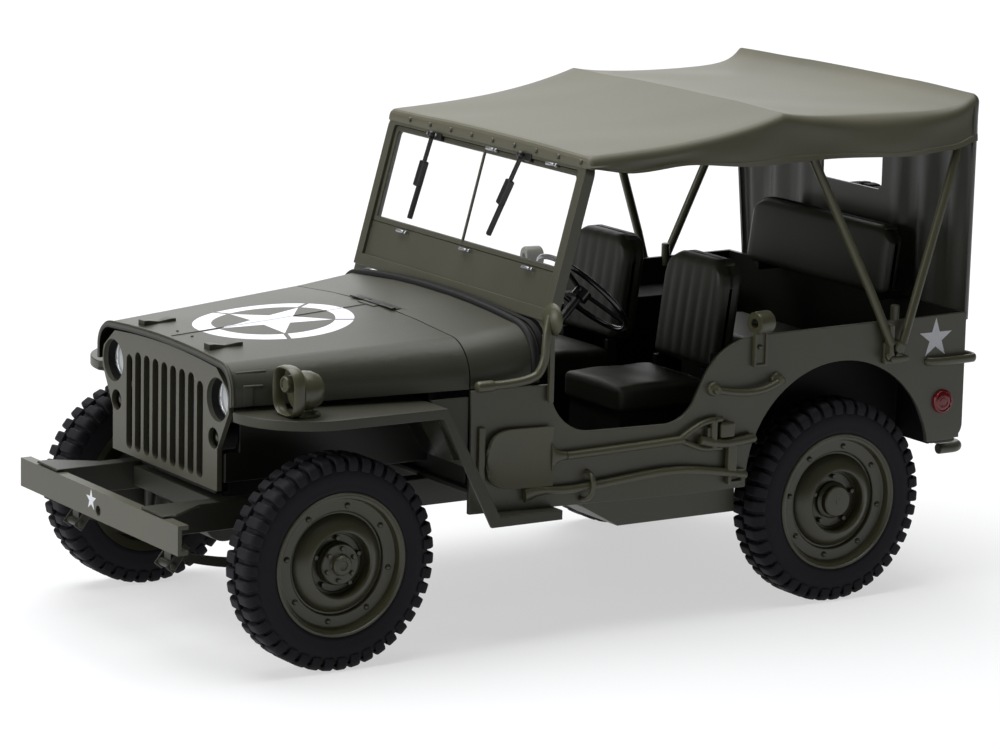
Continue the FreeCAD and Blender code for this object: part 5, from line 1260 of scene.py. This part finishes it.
# ---- fittings on the tub
def grabs():
    """Side grab handles on round flanges, and the flat bars round the tub's rear corners."""
    out = spin(-90, "X")
    flange = turned([(1.4, -0.1), (1.4, 0.5), (1.2, 0.75), (0.9, 0.9), (0.85, 2.0), (0.5, 2.3)],
        20, "last", 40)
    flanges = scattered("grab_flanges", flange, [shift(-18.9, TUB_HALF, 45.6) @ out,
        shift(-33.8, 41, 46.2) @ out])
    rail = tube([(-18.9, 42.5, 45.6), (-21.8, 42.6, 44.9), (-26.5, 42.65, 44.4),
        (-31.3, 42.6, 44.9), (-33.8, 42.5, 46.2)], 0.7)
    corner = tube([(-70.4, 40.9, 0), (-70.6, 42.4, 0), (-80.2, 42.4, 0), (-82.3, 42.0, 0),
        (-82.4, 37.2, 0), (-80.1, 37.0, 0)], 0.5)
    reshape(corner, lambda x, y, z: (x, y, 46.5 + z * 1.7))
    fit(both_sides(joined("grab_bars", [flanges, rail, corner])), fitting_paint, ["grab_handles"])


def clamps():
    """Slotted strap with a thick rolled eye above the tub's side."""
    strap = recessed(block((-30.9, TUB_HALF, 49.2), (-27.8, 42.0, 56.2)), 0.5, 0.5)
    roll = turned([(0.95, -1.9), (2.0, -1.9), (2.25, -1.6), (2.25, 1.6), (2.0, 1.9), (0.95, 1.9)],
        32, "joined", 40, shift(-29.8, 41.15, 57.7, 10) @ spin(90, "Y"))
    rivet = moved(dome(0.5, 0.5, 12), shift(-29.3, 41.5, 53.0, -90, "X"))
    fit(both_sides(joined("rolled_clamps", [eased(strap, 0.15, 2), roll, rivet])), fitting_paint,
        ["side_clamps"])


def bow_pivots():
    """Pivot of the two bows: a plate on the tub, a stirrup, a socket and a wing nut."""
    pieces = [
        chip((-2.4, 0, 46.9), (2.5, 1.0, 51.4), 0.4),
        chip((1.0, 0.2, 48.6), (2.2, 2.3, 55.2), 0.4),
        chip((-2.6, 0.2, 47.5), (1.8, 2.5, 48.7), 0.35),
        bar((-0.2, 0, 50.4), (-0.2, 2.7, 50.4), 1.1, 20, 0.3),
        bar((-1.1, -0.9, 53.5), (-1.1, -0.9, 58.4), 0.9, 16, 0.3)]
    for way in (1, -1):
        wing = chip((0.3, -0.35, -0.45), (2.3, 0.35, 0.75), 0.3)
        pieces.append(moved(wing, shift(0.6, 1.85, 49.4, 90 - way * 62, "Y")))
    pivot = moved(joined("bow_pivots", pieces), shift(middle("bow_brackets").x - 0.1, TUB_HALF, 0))
    fit(both_sides(pivot), fitting_paint, ["bow_brackets"])


def red_lenses():
    """Side reflectors in their bezels, and the two tail lamps in their cases."""
    bezel = turned([(2.4, 0), (2.4, 0.45), (2.25, 0.65), (2.0, 0.7), (1.85, 0.5), (1.85, 0)], 40,
        "joined", 40)
    lens = turned([(1.86, 0), (1.86, 0.45), (1.6, 0.6), (1.15, 0.64), (1.0, 0.5), (0.85, 0.5),
        (0.7, 0.64), (0.2, 0.68)], 40, "last", 30)
    places = [shift(-74.8, side * TUB_HALF, 38.0, -90 * side, "X") for side in SIDES]
    case = turned([(1.75, 0), (1.75, 1.1), (1.55, 1.3), (1.4, 1.2)], 28, "", 40)
    glow = turned([(1.45, 1.0), (1.3, 1.3), (0.8, 1.48), (0.1, 1.54)], 28, "last", 50)
    tail = span("body_side_left")[0].x
    at_tail = [shift(tail, side * 36.0, 42.0, -90, "Y") for side in SIDES]
    lenses = [scattered("bezels", bezel, places), scattered("reflector_lenses", lens, places),
        scattered("tail_lenses", glow, at_tail)]
    fit(joined("red_lenses", lenses), red_plastic, ["reflectors"])
    fit(scattered("tail_cases", case, at_tail), fitting_paint)


def shackles():
    """Twin plates and a bolt at each end of the springs."""
    link = begin("cube", (0, 0, 0), (1.9, 0.5, 6.0), size=1)
    reshape(link, lambda x, y, z: (x * (0.8 if z > 0 else 1.1), y, z))
    eased(link, 0.6, 3, 60)
    bolt = bar((0, -2.9, -1.9), (0, 2.9, -1.9), 0.75, 16, 0.25)
    blank = joined("shackle", [copied(link, shift(0, across, 0)) for across in (2.3, -2.3)]
        + [bolt])
    bpy.data.objects.remove(link)
    places = [shift(x, 18.8, z, tilt, "Y") for x, z, tilt in ((86.3, 19.8, -38), (39.8, 20.4, 12),
        (-26.0, 20.4, -12), (-73.0, 20.4, 12))]
    fit(both_sides(scattered("spring_shackles", blank, places)), underbody)


# ---- controls
def controls():
    """Steering wheel, levers with their knobs, and the dials on the dashboard."""
    fit(softened("steering_wheel", "hand_wheel", 0.18), black_gloss, ["steering_wheel"],
        "steering_wheel")
    fit(softened("driver_controls", "levers", 0.1), fitting_dark, ["driver_controls"])
    knob = turned([(0.5, -0.9), (0.95, -0.4), (1.05, 0.2), (0.8, 0.8), (0.2, 1.05)], 16, "last",
        50)
    ahead, floor_top = span("driver_seat")[1].x - 3, span("driver_controls")[0].z
    places = [shift(ahead + x, y, floor_top + rise)
        for x, y, rise in ((5, 1.5, 17.2), (3, -3.5, 11.2), (3, -6.0, 11.2))]
    fit(scattered("lever_knobs", knob, places), black_gloss)
    dial = turned([(1.9, 0), (1.9, 0.35), (1.65, 0.4), (1.6, 0.2), (0.2, 0.2)], 28, "last", 30)
    back = span("dashboard")[0].x
    places = [shift(back, y, z, -90, "Y") @ Matrix.Scale(size, 4)
        for y, z, size in ((0, 54.2, 1.25), (4.6, 55.8, 0.7), (4.6, 52.6, 0.7), (-4.6, 55.8, 0.7),
        (-4.6, 52.6, 0.7))]
    fit(scattered("dials", dial, places), black_gloss)


for build in (hood, panels, cowl, sump, grille, wings, grille_lamps, blackout_lamp, windscreen,
        side_mirror, side_tools, grabs, clamps, bow_pivots, red_lenses, shackles, controls):
    build()


# ---- studio
floor = Finish("white_paper")
rays = [floor.node("LightPath", output="Is %s Ray" % kind)
        for kind in ("Camera", "Glossy", "Transmission")]
seen = sum(rays, 0.0).sum("MINIMUM", 1.0)
paper = floor.node("BsdfDiffuse", inputs={"Color": (0.94, 0.95, 0.97)})
table = floor.node("BsdfDiffuse", inputs={"Color": (0.34, 0.34, 0.34)})
glow = floor.node("Emission", inputs={"Color": (1, 1, 1), "Strength": 1.0})
lit_paper = floor.node("MixShader", inputs={0: 0.56, 1: paper, 2: glow})
floor.node("OutputMaterial",
    inputs={"Surface": floor.node("MixShader", inputs={0: seen, 1: table, 2: lit_paper})})


bpy.ops.mesh.primitive_plane_add(size=12)
sheet = bpy.context.active_object
sheet.name = "studio_floor"
sheet.data.materials.append(floor.material)


def softbox(name, at, aim, size, power):
    """Square lamp at a place, aimed at a point, both in metres."""
    lamp = bpy.data.lights.new(name, "AREA")
    lamp.shape, lamp.size, lamp.energy = "SQUARE", size, power
    holder = added(name, lamp)
    holder.location = at
    holder.rotation_euler = (Vector(aim) - Vector(at)).to_track_quat("-Z", "Y").to_euler()


softbox("softbox_above", (0.05, -0.25, 1.1), (0, 0, 0), 1.25, 18)
softbox("softbox_front", (1.3, -0.05, 0.45), (0, 0, 0.04), 0.8, 8)
softbox("softbox_behind", (-0.7, -1.1, 0.5), (0, 0, 0.05), 1.0, 5)

sky = bpy.data.worlds.new("studio")
bpy.context.scene.world = sky
sky.use_nodes = True
air = Finish("air", sky.node_tree)
ambient = air.node("Background", inputs={"Color": (1, 1, 1), "Strength": 0.09})
white = air.node("Background", inputs={"Color": (1, 1, 1), "Strength": 1.0})
to_camera = air.node("LightPath", output="Is Camera Ray")
sky_mix = air.node("MixShader", inputs={0: to_camera, 1: ambient, 2: white})
air.node("OutputWorld", inputs={"Surface": sky_mix})

# ---- camera
VIEW_FROM = (0.4462, 0.69758, 0.20855)
YAW, PITCH, ROLL = 4.1428, -0.1985, 0.0222

ahead = Vector((cos(YAW) * cos(PITCH), sin(YAW) * cos(PITCH), sin(PITCH)))
right = Vector((sin(YAW), -cos(YAW), 0))
above = right.cross(ahead)
side = right * cos(ROLL) + above * sin(ROLL)
up = above * cos(ROLL) - right * sin(ROLL)
view = bpy.data.cameras.new("camera")
view.lens, view.sensor_width = 153.65, 36
view.shift_x, view.shift_y = -0.0176, 0.0035
view.clip_start = 0.05
holder = added("camera", view)
turn = Matrix((side, up, -ahead)).transposed().to_4x4()
holder.matrix_world = Matrix.Translation(VIEW_FROM) @ turn
bpy.context.scene.camera = holder
bpy.context.scene.view_settings.view_transform = "Standard"
